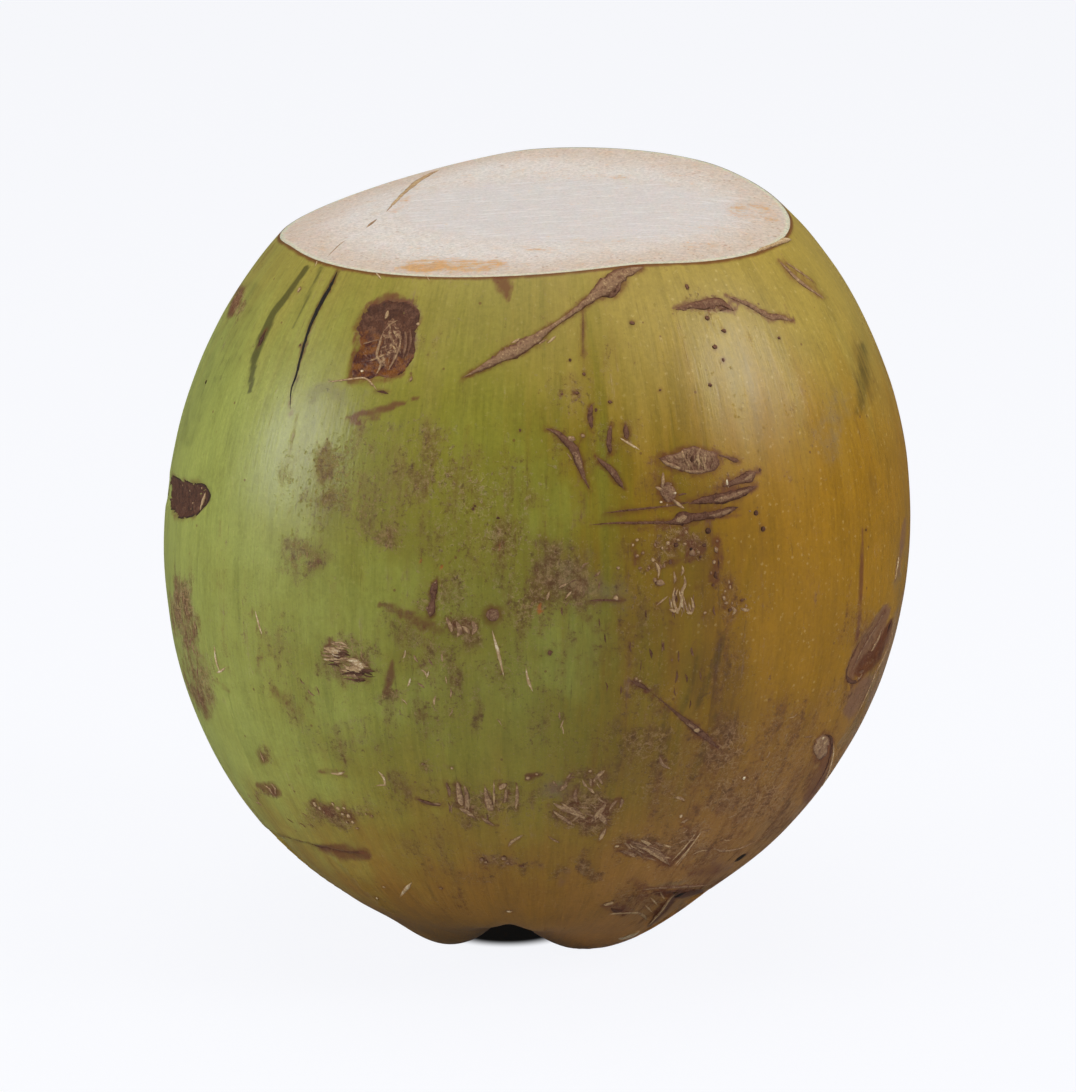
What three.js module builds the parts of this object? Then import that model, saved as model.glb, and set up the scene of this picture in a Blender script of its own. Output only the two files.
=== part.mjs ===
// Tender green coconut with its crown sliced off, standing on its stalk end.
// Millimetres, +Z up, -Y is the front. The fruit is one grown piece, so it is one closed mesh:
// an ovoid husk with three ribs, three low lobes round a stalk hollow, and a sliced top.
import * as THREE from 'three';
import { mergeVertices } from 'three/addons/utils/BufferGeometryUtils.js';

// Husk ovoid
const bodyRadius = 84.0; // widest ring, from the fruit's own axis
const bodyHalfHeight = 95.4; // of the whole fruit, before the crown is sliced off
const ribShare = 0.027; // how far the three husk ribs swell, as a share of the radius
const ribAzimuth = 90; // degrees, the rear rib
const leanShare = 0.032; // sideways lean for each millimetre of height
const sideBow = 0.9; // sideways bow at mid height

// Stalk end: three lobes that the fruit stands on, grooves between them, a hollow in the middle
const baseCentre = [-5.0, 0.0];
const lobeAzimuth = -30; // degrees, the front right lobe
const lobes = { at: 20.8, halfWidth: 9, drop: 3.4, sharpness: 0.7 };
const grooves = { at: 20, halfWidth: 13, rise: 5.5, sharpness: 2 };
const stalkHollow = { innerRadius: 7, outerRadius: 16, depth: 8 };
const stalkScar = { radius: 5, height: 1.6 }; // low button left where the stalk came away
const baseReach = { polarEnd: 1.25, polarBlend: 0.35 }; // the lobes fade out above this, in radians
const rightLobeSwelling = { azimuth: -24, halfAngle: 28, height: 3.9, halfHeight: 7.8, out: 5.3 };

// Slice across the crown: a main plane with a flatter facet at the left and one at the right
const slice = { height: 169.6, risePerX: 0.0626, risePerY: 0.112, facetBlend: 4 };
const leftFacet = { azimuth: 144, startsAt: 30.5, fall: 0.1845 };
const rightFacet = { azimuth: -14.3, startsAt: 34.9, fall: 0.179 };

// Dents pressed into the skin: azimuth in degrees, the rest in millimetres
const dents = [
  { azimuth: -118, height: 147, halfWidth: 9, halfHeight: 10, depth: 0.9 }, // knot, high at the front left
  { azimuth: -154, height: 110, halfWidth: 7, halfHeight: 6, depth: 0.8 }, // knot at the left edge
  { azimuth: -20, height: 76, halfWidth: 15, halfHeight: 9, depth: 1.1 }, // gouge at the right
  { azimuth: -36, height: 55, halfWidth: 6, halfHeight: 11, depth: 0.7 }, // split below the gouge
];

// Folds pressed in by the leafy cap round the stalk: each is a crease with a swelling above or below it
const foldsBeyond = { radius: 26, blend: 10 }; // no fold reaches in under the lobes
const folds = [
  { from: [-62, 21], to: [-26, 15], halfWidth: 3.2, depth: 1.5, swellRise: 5, swell: 0.6 },
  { from: [-152, 31], to: [-120, 34], halfWidth: 3.4, depth: 0.9, swellRise: -6.5, swell: 0.8 },
];

// Mesh
const columns = 96; // round the fruit
const skinRows = 40; // from the stalk end up to the rim of the slice
const sliceRows = 4; // from the rim to the middle of the slice
const rowCrowding = 1.2; // above 1, rows sit closer together at the stalk end
const rimSearch = { from: Math.PI / 2, to: Math.PI * 0.97, steps: 40 };

const { degToRad: radians, lerp, clamp, smoothstep } = THREE.MathUtils;
const bell = (distance, halfWidth) => Math.exp(-((distance / halfWidth) ** 2));
const turnBetween = (a, b) => Math.atan2(Math.sin(a - b), Math.cos(a - b));
const softRamp = (distance, blend) => (distance + Math.hypot(distance, blend)) / 2;

// Height change at the stalk end, for a point of the ovoid at (x, y)
function stalkEndChange(x, y, polar) {
  const { innerRadius, outerRadius, depth } = stalkHollow;
  const fromCentre = Math.hypot(x - baseCentre[0], y - baseCentre[1]);
  const azimuth = Math.atan2(y - baseCentre[1], x - baseCentre[0]);
  const lobe = 0.5 + 0.5 * Math.cos(3 * (azimuth - radians(lobeAzimuth)));
  const lobeDrop = lobes.drop * lobe ** lobes.sharpness * bell(fromCentre - lobes.at, lobes.halfWidth);
  const grooveRise = grooves.rise * (1 - lobe) ** grooves.sharpness
    * bell(fromCentre - grooves.at, grooves.halfWidth);
  const roundHollow = smoothstep(fromCentre, 0, innerRadius) * (grooveRise - lobeDrop);
  const hollow = depth * (1 - smoothstep(fromCentre, innerRadius, outerRadius));
  const scarDrop = stalkScar.height * bell(fromCentre, stalkScar.radius);
  const fade = smoothstep(baseReach.polarEnd - polar, 0, baseReach.polarBlend);
  return fade * (roundHollow + hollow - scarDrop);
}

// Outward push of the swelling on the front right lobe, outside the stalk hollow
function lobeSwelling(x, y, z) {
  const fromCentre = Math.hypot(x - baseCentre[0], y - baseCentre[1]);
  const azimuth = Math.atan2(y - baseCentre[1], x - baseCentre[0]);
  const turn = turnBetween(azimuth, radians(rightLobeSwelling.azimuth));
  return rightLobeSwelling.out * smoothstep(fromCentre, stalkHollow.innerRadius, lobes.at)
    * bell(turn, radians(rightLobeSwelling.halfAngle))
    * bell(z - rightLobeSwelling.height, rightLobeSwelling.halfHeight);
}

// Outward push of the dents, which is negative
function dentPush(azimuth, radius, z) {
  return dents.reduce((push, dent) => {
    const across = turnBetween(azimuth, radians(dent.azimuth)) * radius;
    return push - dent.depth * bell(across, dent.halfWidth) * bell(z - dent.height, dent.halfHeight);
  }, 0);
}

// Outward push of the folds: in along the crease, out along its swelling
function foldPush(azimuth, radius, z) {
  const clearOfLobes = smoothstep(radius - foldsBeyond.radius, 0, foldsBeyond.blend);
  return clearOfLobes * folds.reduce((push, fold) => {
    const start = radians(fold.from[0]);
    const length = radians(fold.to[0]) - start;
    const along = turnBetween(azimuth, start) / length;
    const height = lerp(fold.from[1], fold.to[1], clamp(along, 0, 1));
    const past = Math.max(0, -along, along - 1) * length * radius;
    const ends = bell(past, fold.halfWidth * 2);
    const crease = fold.depth * bell(z - height, fold.halfWidth);
    const swelling = fold.swell * bell(z - height - fold.swellRise, fold.halfWidth * 1.3);
    return push + ends * (swelling - crease);
  }, 0);
}

// A point of the skin: azimuth round the fruit, polar angle up from the stalk end
function skinPoint(azimuth, polar) {
  const rib = 1 + ribShare * Math.cos(3 * (azimuth - radians(ribAzimuth)));
  const radius = bodyRadius * Math.sin(polar) * rib;
  const ovoidHeight = bodyHalfHeight * (1 - Math.cos(polar));
  const lean = leanShare * (ovoidHeight - bodyHalfHeight);
  const leaning = new THREE.Vector2(radius * Math.cos(azimuth) + lean, radius * Math.sin(azimuth));
  const z = ovoidHeight + stalkEndChange(leaning.x, leaning.y, polar);
  const fromBase = leaning.clone().sub(new THREE.Vector2(...baseCentre)).normalize();
  leaning.addScaledVector(fromBase, lobeSwelling(leaning.x, leaning.y, z));
  const push = dentPush(azimuth, radius, z) + foldPush(azimuth, radius, z);
  const upShare = z / bodyHalfHeight - 1;
  const x = leaning.x + push * Math.cos(azimuth) + sideBow * (1 - upShare ** 2);
  const y = leaning.y + push * Math.sin(azimuth);
  return new THREE.Vector3(x, y, Math.max(z, 0)); // the lobes end in three small flats at z = 0
}

// Height of the slice over (x, y)
function sliceHeight(x, y) {
  const facetFall = (facet) => {
    const towards = x * Math.cos(radians(facet.azimuth)) + y * Math.sin(radians(facet.azimuth));
    return facet.fall * softRamp(towards - facet.startsAt, slice.facetBlend);
  };
  const plane = slice.height + slice.risePerX * x + slice.risePerY * y;
  return plane - facetFall(leftFacet) - facetFall(rightFacet);
}

// Polar angle at which the skin meets the slice
function rimPolar(azimuth) {
  let [below, above] = [rimSearch.from, rimSearch.to];
  for (let step = 0; step < rimSearch.steps; step += 1) {
    const middle = (below + above) / 2;
    const point = skinPoint(azimuth, middle);
    if (point.z > sliceHeight(point.x, point.y)) above = middle;
    else below = middle;
  }
  return (below + above) / 2;
}

const azimuths = Array.from({ length: columns }, (_, column) => (column / columns) * 2 * Math.PI);
const rimPolars = azimuths.map(rimPolar);
const rim = azimuths.map((azimuth, column) => skinPoint(azimuth, rimPolars[column]));
const sliceMiddle = rim.reduce((sum, point) => sum.add(point), new THREE.Vector3()).divideScalar(columns);

// Where a vertex of the sphere's grid goes: row 0 is the middle of the slice, the last row the stalk end
function gridPoint(row, column) {
  if (row < sliceRows) {
    const point = sliceMiddle.clone().lerp(rim[column], row / sliceRows);
    point.z = sliceHeight(point.x, point.y);
    return point;
  }
  const upShare = 1 - (row - sliceRows) / skinRows;
  return skinPoint(azimuths[column], rimPolars[column] * upShare ** rowCrowding);
}

function coconutGeometry() {
  const sphere = new THREE.SphereGeometry(1, columns, sliceRows + skinRows);
  const positions = sphere.attributes.position;
  for (let index = 0; index < positions.count; index += 1) {
    const row = Math.floor(index / (columns + 1));
    const column = (index % (columns + 1)) % columns;
    positions.setXYZ(index, ...gridPoint(row, column));
  }
  sphere.deleteAttribute('normal');
  sphere.deleteAttribute('uv');
  const closed = mergeVertices(sphere);
  closed.computeBoundingBox();
  const middle = closed.boundingBox.getCenter(new THREE.Vector3());
  closed.translate(-middle.x, -middle.y, 0); // origin under the middle of the box, on the surface
  closed.computeVertexNormals();
  return closed;
}

const huskMaterial = new THREE.MeshStandardMaterial({ color: 0x87923c, roughness: 0.5, metalness: 0 });
const coconut = new THREE.Mesh(coconutGeometry(), huskMaterial);
coconut.name = 'green_coconut';

const group = new THREE.Group();
group.add(coconut);

export default group;
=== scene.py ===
import math
import random

import bmesh
import bpy
import numpy as np
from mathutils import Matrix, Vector, noise
from mathutils.bvhtree import BVHTree
from mathutils.kdtree import KDTree


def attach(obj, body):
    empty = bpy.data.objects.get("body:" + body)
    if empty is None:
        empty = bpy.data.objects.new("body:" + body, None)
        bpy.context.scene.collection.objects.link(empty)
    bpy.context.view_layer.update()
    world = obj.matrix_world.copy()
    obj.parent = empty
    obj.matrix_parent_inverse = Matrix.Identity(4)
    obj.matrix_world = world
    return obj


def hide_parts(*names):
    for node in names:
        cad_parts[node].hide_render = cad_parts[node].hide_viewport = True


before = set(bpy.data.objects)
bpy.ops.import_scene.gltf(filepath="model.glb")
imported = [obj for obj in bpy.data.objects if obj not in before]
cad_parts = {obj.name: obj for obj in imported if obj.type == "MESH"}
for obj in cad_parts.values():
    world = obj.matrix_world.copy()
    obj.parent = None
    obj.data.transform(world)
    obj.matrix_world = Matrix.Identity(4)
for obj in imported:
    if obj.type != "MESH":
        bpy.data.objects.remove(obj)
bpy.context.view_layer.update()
print("frame loaded")

mm = 0.001  # shapes are worked out in millimetres and made in metres
noise.seed_set(1)  # without it the vector noise would differ from run to run

view = {
    "lens": 160,
    "sensor": 36,
    "frame": (1076, 1092),  # pixels; the marks' places are given in this frame
    "distance": 1106.0,
    "elevation": 13,  # degrees, looking down
    "target": (0.2, -2.3, 90.6),
}


def viewAxes(turn=0):
    # the camera's place, right, up and forward, turned about the fruit by turn degrees
    low = math.radians(view["elevation"])
    about = math.radians(turn)
    back = Vector((math.sin(about) * math.cos(low), -math.cos(about) * math.cos(low), math.sin(low)))
    right = Vector((math.cos(about), math.sin(about), 0))
    place = Vector(view["target"]) + back * view["distance"]
    return place, right, back.cross(right), -back


def pixelsPerUnit():
    return view["lens"] / view["sensor"] * max(view["frame"])


def framed(points, turn=0):
    # where points of the fruit fall in the camera's frame, in its pixels
    place, right, up, forward = (np.array(v) for v in viewAxes(turn))
    away = points - place
    depth = away @ forward
    scale = pixelsPerUnit() / depth
    return view["frame"][0] / 2 + scale * (away @ right), view["frame"][1] / 2 - scale * (away @ up)


def sightLine(u, v, turn=0):
    place, right, up, forward = viewAxes(turn)
    across = (u - view["frame"][0] / 2) / pixelsPerUnit()
    down = (v - view["frame"][1] / 2) / pixelsPerUnit()
    return place, (forward + right * across - up * down).normalized()


def addCamera():
    place, right, up, forward = viewAxes()
    data = bpy.data.cameras.new("camera")
    data.lens = view["lens"]
    data.sensor_width = view["sensor"]
    data.clip_end = 20
    camera = bpy.data.objects.new("camera", data)
    camera.location = place * mm
    camera.rotation_euler = forward.to_track_quat("-Z", "Y").to_euler()
    bpy.context.scene.collection.objects.link(camera)
    bpy.context.scene.camera = camera


addCamera()
print("camera placed")


# the husk's form, with the part's own measures
husk = {
    "radius": 84.0,
    "halfHeight": 95.4,
    "ribShare": 0.027,
    "ribAzimuth": 90,
    "leanShare": 0.032,
    "sideBow": 0.9,
    "baseCentre": (-5.0, 0.0),
    "lobeAzimuth": -30,
    "lobeAt": 20.8,
    "lobeWide": 9,
    "lobeDrop": 3.4,
    "grooveAt": 20,
    "grooveWide": 13,
    "grooveRise": 5.5,
    "hollow": (7, 16),
    "hollowDepth": 8,
    "stalkScar": (5, 1.6),
    "lobesReach": (1.25, 0.35),
    "swelling": (-24, 28, 3.9, 7.8, 5.3),  # azimuth, half angle, height, half height, outwards
    "columns": 440,
    "skinRows": 196,
    "sliceRows": 8,
    "frontCrowding": 0.4,  # columns stand closer at the front
    "rowCrowding": 1.12,
    "unevenness": 0.22,
    "waveLengths": (23, 9),
}

# the slice: a plane with a facet at the left and one at the right: azimuth, start, fall
slicing = {
    "height": 169.6,
    "risePerX": 0.0626,
    "risePerY": 0.112,
    "blend": 4,
    "facets": [(144, 30.5, 0.1845), (-14.3, 34.9, 0.179)],
}


def bell(distance, width):
    return np.exp(-((distance / width) ** 2))


def smooth(low, high, value):
    share = np.clip((value - low) / (high - low), 0, 1)
    return share * share * (3 - 2 * share)


def stalkEnd(x, y, polar):
    fromCentre = np.hypot(x - husk["baseCentre"][0], y - husk["baseCentre"][1])
    azimuth = np.arctan2(y - husk["baseCentre"][1], x - husk["baseCentre"][0])
    lobe = 0.5 + 0.5 * np.cos(3 * (azimuth - math.radians(husk["lobeAzimuth"])))
    drop = husk["lobeDrop"] * lobe ** 0.7 * bell(fromCentre - husk["lobeAt"], husk["lobeWide"])
    rise = husk["grooveRise"] * (1 - lobe) ** 2 * bell(fromCentre - husk["grooveAt"], husk["grooveWide"])
    inner, outer = husk["hollow"]
    hollow = husk["hollowDepth"] * (1 - smooth(inner, outer, fromCentre))
    scar = husk["stalkScar"][1] * bell(fromCentre, husk["stalkScar"][0])
    end, blend = husk["lobesReach"]
    return smooth(0, blend, end - polar) * (smooth(0, inner, fromCentre) * (rise - drop) + hollow - scar)


def swelling(x, y, z):
    azimuth, halfAngle, height, halfHeight, out = husk["swelling"]
    fromCentre = np.hypot(x - husk["baseCentre"][0], y - husk["baseCentre"][1])
    turn = np.arctan2(y - husk["baseCentre"][1], x - husk["baseCentre"][0]) - math.radians(azimuth)
    turn = np.arctan2(np.sin(turn), np.cos(turn))
    near = smooth(husk["hollow"][0], husk["lobeAt"], fromCentre)
    return out * near * bell(turn, math.radians(halfAngle)) * bell(z - height, halfHeight)


def skinPoints(azimuth, polar):
    rib = 1 + husk["ribShare"] * np.cos(3 * (azimuth - math.radians(husk["ribAzimuth"])))
    radius = husk["radius"] * np.sin(polar) * rib
    height = husk["halfHeight"] * (1 - np.cos(polar))
    x = radius * np.cos(azimuth) + husk["leanShare"] * (height - husk["halfHeight"])
    y = radius * np.sin(azimuth)
    z = height + stalkEnd(x, y, polar)
    fromX, fromY = x - husk["baseCentre"][0], y - husk["baseCentre"][1]
    push = swelling(x, y, z) / np.maximum(np.hypot(fromX, fromY), 1e-6)
    x, y = x + push * fromX, y + push * fromY
    x = x + husk["sideBow"] * (1 - (z / husk["halfHeight"] - 1) ** 2)
    return np.stack([x, y, np.maximum(z, 0)], -1)


def sliceHeights(x, y):
    height = slicing["height"] + slicing["risePerX"] * x + slicing["risePerY"] * y
    for azimuth, start, fall in slicing["facets"]:
        past = x * math.cos(math.radians(azimuth)) + y * math.sin(math.radians(azimuth)) - start
        height = height - fall * (past + np.hypot(past, slicing["blend"])) / 2
    return height


def rimPolars(azimuth):
    below = np.full(len(azimuth), math.pi / 2)
    above = np.full(len(azimuth), math.pi * 0.97)
    for _ in range(40):
        middle = (below + above) / 2
        point = skinPoints(azimuth, middle)
        over = point[:, 2] > sliceHeights(point[:, 0], point[:, 1])
        above = np.where(over, middle, above)
        below = np.where(over, below, middle)
    return (below + above) / 2


def gridShares(bm, columns, rows):
    # a flat grid's vertices with how far each is across and up it, from 0 to 1
    made = bmesh.ops.create_grid(bm, x_segments=columns, y_segments=rows, size=1)["verts"]
    return made, np.array([(v.co.x, v.co.y) for v in made]) / 2 + 0.5


def closeUp(bm):
    bmesh.ops.remove_doubles(bm, verts=bm.verts, dist=1e-5)
    bmesh.ops.dissolve_degenerate(bm, edges=bm.edges, dist=1e-6)
    bmesh.ops.recalc_face_normals(bm, faces=bm.faces)


def coordinates(bm):
    return np.array([v.co for v in bm.verts])


def normals(bm):
    bm.normal_update()
    return np.array([v.normal for v in bm.verts])


def moveTo(verts, places):
    for v, place in zip(verts, places.tolist()):
        v.co = place


# where each column stands, where the rim is, and the fruit's middle over its own box
rimAzimuths = np.linspace(0, 2 * math.pi, 721)
rimHeights = rimPolars(rimAzimuths)
rimPoints = skinPoints(rimAzimuths, rimHeights)
rimMiddle = rimPoints[:-1].mean(0)
roughSkin = skinPoints(*np.meshgrid(rimAzimuths, np.linspace(0.1, 2.2, 200))).reshape(-1, 3)
boxMiddle = (roughSkin.min(0) + roughSkin.max(0)) / 2 * (1, 1, 0)


def columnAzimuths(share):
    turn = share * 2 * math.pi
    return turn - husk["frontCrowding"] * (np.sin(turn + math.pi / 2) - 1)


def rimAt(azimuth):
    turn = np.mod(azimuth, 2 * math.pi)
    return np.interp(turn, rimAzimuths, rimHeights)


def huskPlaces(shares):
    azimuth = columnAzimuths(shares[:, 0])
    azimuth = np.where(shares[:, 0] > 1 - 1e-6, columnAzimuths(np.zeros(1)), azimuth)
    rows = husk["skinRows"] + husk["sliceRows"]
    skinShare = husk["skinRows"] / rows
    up = np.clip(shares[:, 1] / skinShare, 0, 1) ** husk["rowCrowding"]
    skin = skinPoints(azimuth, rimAt(azimuth) * up)
    inward = np.clip((shares[:, 1] - skinShare) / (1 - skinShare), 0, 1)[:, None]
    top = rimMiddle + (skin - rimMiddle) * (1 - inward)
    top[:, 2] = sliceHeights(top[:, 0], top[:, 1])
    return np.where(inward > 0, top, skin) - boxMiddle


# hollows pressed into the skin, and creases in it, by their places in the frame
knotOutlines = {
    "highKnot": [(355, 329), (361, 320), (367, 309), (380, 303), (395, 301), (411, 304), (418, 311), (420, 320),
                 (415, 331), (416, 344), (411, 358), (406, 371), (393, 376), (375, 378), (352, 378),
                 (353, 364), (359, 348), (359, 336)],
    "edgeKnot": [(171, 475), (180, 480), (190, 483), (202, 484), (208, 488), (211, 494), (210, 501), (205, 507),
                 (200, 512), (194, 516), (178, 517), (172, 511)],
    "gouge": [(885, 608), (880, 613), (871, 632), (862, 640), (857, 648), (852, 660), (846, 674), (850, 682),
              (857, 681), (864, 669), (874, 652), (881, 640), (888, 624)],
}
notch = (509, 921, 12, 15, 1.0)  # between the lobes the foot's edge arches up: across, down, reaches, rise
pressed = {
    "highKnot": 1.0,
    "edgeKnot": 0.9,
    "gouge": 1.2,
}
creases = [
    # below the line the skin steps in, above it a lip stands out: points, step, step's reach, lip
    ([(626, 897), (644, 892), (676, 889), (712, 886)], 2.0, 34, 0.5),
    ([(258, 820), (280, 835), (304, 842), (328, 846), (350, 852), (374, 857)], 1.5, 24, 0.15),
    ([(316, 845), (345, 868), (372, 893), (402, 922)], 0, 20, 0.5),
    ([(682, 889), (668, 900), (658, 913), (644, 929)], 0, 14, 0.5),
]


def stretchField(u, v, start, end):
    # distance in pixels from a straight stretch of a path, how far along it, and which side
    (au, av), (du, dv) = start[:2], (end[0] - start[0], end[1] - start[1])
    share = np.clip(((u - au) * du + (v - av) * dv) / (du * du + dv * dv), 0, 1)
    gap = np.hypot(u - au - share * du, v - av - share * dv)
    return gap, share, np.sign((v - av) * du - (u - au) * dv)


def lineField(u, v, path):
    # distance in pixels from a line, which side, and how far along it
    best = np.full(len(u), 1e9)
    side = np.zeros(len(u))
    along = np.zeros(len(u))
    for index, (start, end) in enumerate(zip(path, path[1:])):
        gap, share, hand = stretchField(u, v, start, end)
        closer = gap < best
        best = np.where(closer, gap, best)
        side = np.where(closer, hand, side)
        along = np.where(closer, (index + share) / (len(path) - 1), along)
    return best, side, along


def ovalField(u, v, across, down, halfWide, halfHigh):
    # 0 at the middle of an oval, 1 on it, and more outside
    return np.hypot((u - across) / halfWide, (v - down) / halfHigh)


def outlineReach(outline):
    # an outline's middle, and how far it reaches at angles from before a full turn to past one
    middle = np.mean(outline, 0)
    angles = np.array([math.atan2(b - middle[1], a - middle[0]) for a, b in outline])
    reaches = np.array([math.hypot(a - middle[0], b - middle[1]) for a, b in outline])
    order = np.argsort(angles)
    angles = angles[order]
    around = np.concatenate([angles - 2 * math.pi, angles, angles + 2 * math.pi])
    return middle, around, np.tile(reaches[order], 3)


def outlineField(u, v, outline):
    # 0 at the middle of an outline, 1 on it, and more outside
    middle, around, reaches = outlineReach(outline)
    reach = np.interp(np.arctan2(v - middle[1], u - middle[0]), around, reaches)
    return np.hypot(u - middle[0], v - middle[1]) / reach


def skinPush(points, facing):
    # how far the hollows, creases and the skin's own unevenness move it, outwards
    u, v = framed(points)
    seen = facing > 0.02
    push = np.zeros(len(points))
    for name, depth in pressed.items():
        push -= seen * depth * (1 - smooth(0.72, 1.12, outlineField(u, v, knotOutlines[name])))
    for path, step, reach, lip in creases:
        gap, side, along = lineField(u, v, path)
        ends = smooth(0, 0.25, along) * smooth(1.02, 0.75, along) * seen
        below = np.where(side > 0, np.exp(-gap / reach) * smooth(0, 5, gap), 0)
        push += ends * (np.where(side > 0, -step * below, lip * bell(gap, 9)) + lip * bell(gap, 2.5))
    long, short = husk["waveLengths"]
    wave = [noise.noise(Vector(p) / long) + 0.4 * noise.noise(Vector(p) / short) for p in points.tolist()]
    fade = smooth(2, 14, points[:, 2]) * smooth(0, 6, sliceHeights(*(points + boxMiddle).T[:2]) - points[:, 2])
    return push + husk["unevenness"] * np.array(wave) * fade


def makeHusk():
    bm = bmesh.new()
    verts, shares = gridShares(bm, husk["columns"], husk["skinRows"] + husk["sliceRows"])
    moveTo(verts, huskPlaces(shares))
    closeUp(bm)
    points, outward = coordinates(bm), normals(bm)
    facing = -(outward @ np.array(viewAxes()[3]))
    moved = points + outward * skinPush(points, facing)[:, None]
    u, v = framed(points)
    across, down, wide, high, rise = notch
    arch = (bell(u - across, wide) - 0.8 * bell(u - across - 28, wide)) * bell(v - down, high) * rise
    moved[:, 2] += arch * (points[:, 1] < 0) * (points[:, 2] > 0.5)
    moved[:, 2] = np.where(points[:, 2] < 0.01, 0, np.maximum(moved[:, 2], 0.0))
    moveTo(bm.verts, moved)
    bm.normal_update()
    return bm


huskMesh = makeHusk()
ground = {"tree": BVHTree.FromBMesh(huskMesh)}  # what the marks are laid on
print("husk shaped:", len(huskMesh.verts), "points")


def writeMesh(name, bm, materials):
    # the finished piece, in metres, with its place in its mesh
    bmesh.ops.scale(bm, vec=(mm, mm, mm), verts=bm.verts)
    mesh = bpy.data.meshes.new(name)
    bm.to_mesh(mesh)
    bm.free()
    mesh.shade_smooth()
    piece = bpy.data.objects.new(name, mesh)
    for material in materials:
        mesh.materials.append(material)
    bpy.context.scene.collection.objects.link(piece)
    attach(piece, "root")
    return piece


class Wire:
    # a socket that takes part in sums; each sum adds its Math node
    def __init__(self, sheet, socket):
        self.sheet = sheet
        self.socket = socket

    def maths(self, operation, *others, clamp=False):
        values = dict(enumerate((self, *others)))
        return self.sheet.node("Math", {"operation": operation, "use_clamp": clamp}, values)

    def __add__(self, other):
        return self.maths("ADD", other)

    __radd__ = __add__

    def __mul__(self, other):
        return self.maths("MULTIPLY", other)

    __rmul__ = __mul__

    def __sub__(self, other):
        return self.maths("SUBTRACT", other)

    def __rsub__(self, other):
        return self.sheet.node("Math", {"operation": "SUBTRACT"}, {0: other, 1: self})

    def __truediv__(self, other):
        return self.maths("DIVIDE", other)

    def __abs__(self):
        return self.maths("ABSOLUTE")

    def most(self, other):
        return self.maths("MAXIMUM", other)

    def least(self, other):
        return self.maths("MINIMUM", other)

    def clamp(self):
        return self.maths("ADD", 0, clamp=True)

    def smooth(self, low, high):
        # 0 below low, 1 above high; the other way round where low is the larger
        settings = {"interpolation_type": "SMOOTHSTEP"}
        if low > high:
            return 1 - self.smooth(high, low)
        return self.sheet.node("MapRange", settings, {"Value": self, "From Min": low, "From Max": high})


class Sheet:
    # a material's nodes
    def __init__(self, name):
        self.material = bpy.data.materials.new(name)
        self.material.use_nodes = True
        self.tree = self.material.node_tree
        self.tree.nodes.clear()

    def node(self, kind, settings=None, sockets=None, out=0):
        made = self.tree.nodes.new("ShaderNode" + kind)
        for key, value in (settings or {}).items():
            setattr(made, key, value)
        for key, value in (sockets or {}).items():
            if isinstance(value, Wire):
                self.tree.links.new(value.socket, made.inputs[key])
            else:
                made.inputs[key].default_value = value
        return Wire(self, made.outputs[out])

    def split(self, vector):
        made = self.node("SeparateXYZ", None, {0: vector})
        return [Wire(self, socket) for socket in made.socket.node.outputs]

    def join(self, x, y, z):
        return self.node("CombineXYZ", None, {0: x, 1: y, 2: z})

    def vector(self, operation, a, b):
        return self.node("VectorMath", {"operation": operation}, {0: a, 1: b})

    def mix(self, share, a, b, blend="MIX"):
        a, b = (c if isinstance(c, Wire) else (*c, 1) for c in (a, b))
        settings = {"data_type": "RGBA", "blend_type": blend}
        return self.node("Mix", settings, {0: share, 6: a, 7: b}, out=2)

    def noise(self, at, size, detail=3, roughness=0.55, distortion=0):
        values = {"Vector": at, "Scale": 1 / size, "Detail": detail, "Roughness": roughness}
        return self.node("TexNoise", None, {**values, "Distortion": distortion})

    def cells(self, at, size):
        return self.node("TexVoronoi", None, {"Vector": at, "Scale": 1 / size}, out="Distance")

    def attribute(self, name):
        return self.node("Attribute", {"attribute_name": name}, out="Fac")

    def finish(self, colour, roughness, height=None, bump=1.0, **constants):
        sockets = {"Base Color": colour, "Roughness": roughness}
        if height is not None:
            settings = {"Strength": bump, "Distance": mm, "Height": height}
            sockets["Normal"] = self.node("Bump", None, settings)
        sockets.update({key.replace("_", " "): value for key, value in constants.items()})
        shader = self.node("BsdfPrincipled", None, sockets)
        output = self.tree.nodes.new("ShaderNodeOutputMaterial")
        self.tree.links.new(shader.socket, output.inputs["Surface"])
        return self.material


def tint(red, green, blue):
    # a screen colour, 0 to 255, as linear light
    shares = [c / 255 for c in (red, green, blue)]
    return tuple(c / 12.92 if c <= 0.04045 else ((c + 0.055) / 1.055) ** 2.4 for c in shares)


def objectPoint(sheet):
    # places on the fruit in millimetres
    at = sheet.node("TexCoord", out="Object")
    return sheet.vector("MULTIPLY", at, (1 / mm, 1 / mm, 1 / mm))


skinLook = {
    "leaf": (140, 135, 42),
    "lush": (148, 152, 60),
    "lime": (156, 164, 80),
    "olive": (154, 141, 62),
    "moss": (126, 105, 10),  # where the green turns to gold
    "goldHigh": (168, 145, 64),
    "gold": (160, 116, 6),
    "goldLow": (138, 97, 32),
    "foot": (152, 107, 34),
    "footRight": (162, 116, 56),
    # painted bounce light: the foot's paler brown just above the floor
    "footBounceLight": (186, 134, 66),
    "bruise": (112, 62, 40),
    "mauve": (130, 92, 72),
    "scurf": (114, 74, 38),
    "lace": (184, 148, 104),
    "fleck": (66, 42, 22),
    # dark olive streaks, and painted shade at the upper left
    "shade": (58, 56, 22),
    "band": (96, 68, 22),
    # rubbed grey, and down the right edge a painted sheen
    "veil": (128, 116, 92),
    # painted shade in hollows
    "gully": (100, 50, 22),
    "peel": (168, 142, 120),
    "rust": (186, 98, 36),
    "mould": (92, 62, 32),
    "scurfRight": (114, 68, 38),
    "crumb": (168, 134, 92),
    "edgeBrown": (108, 56, 28),
    "dot": (212, 190, 130),
    "roughness": 0.38,
}


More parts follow.
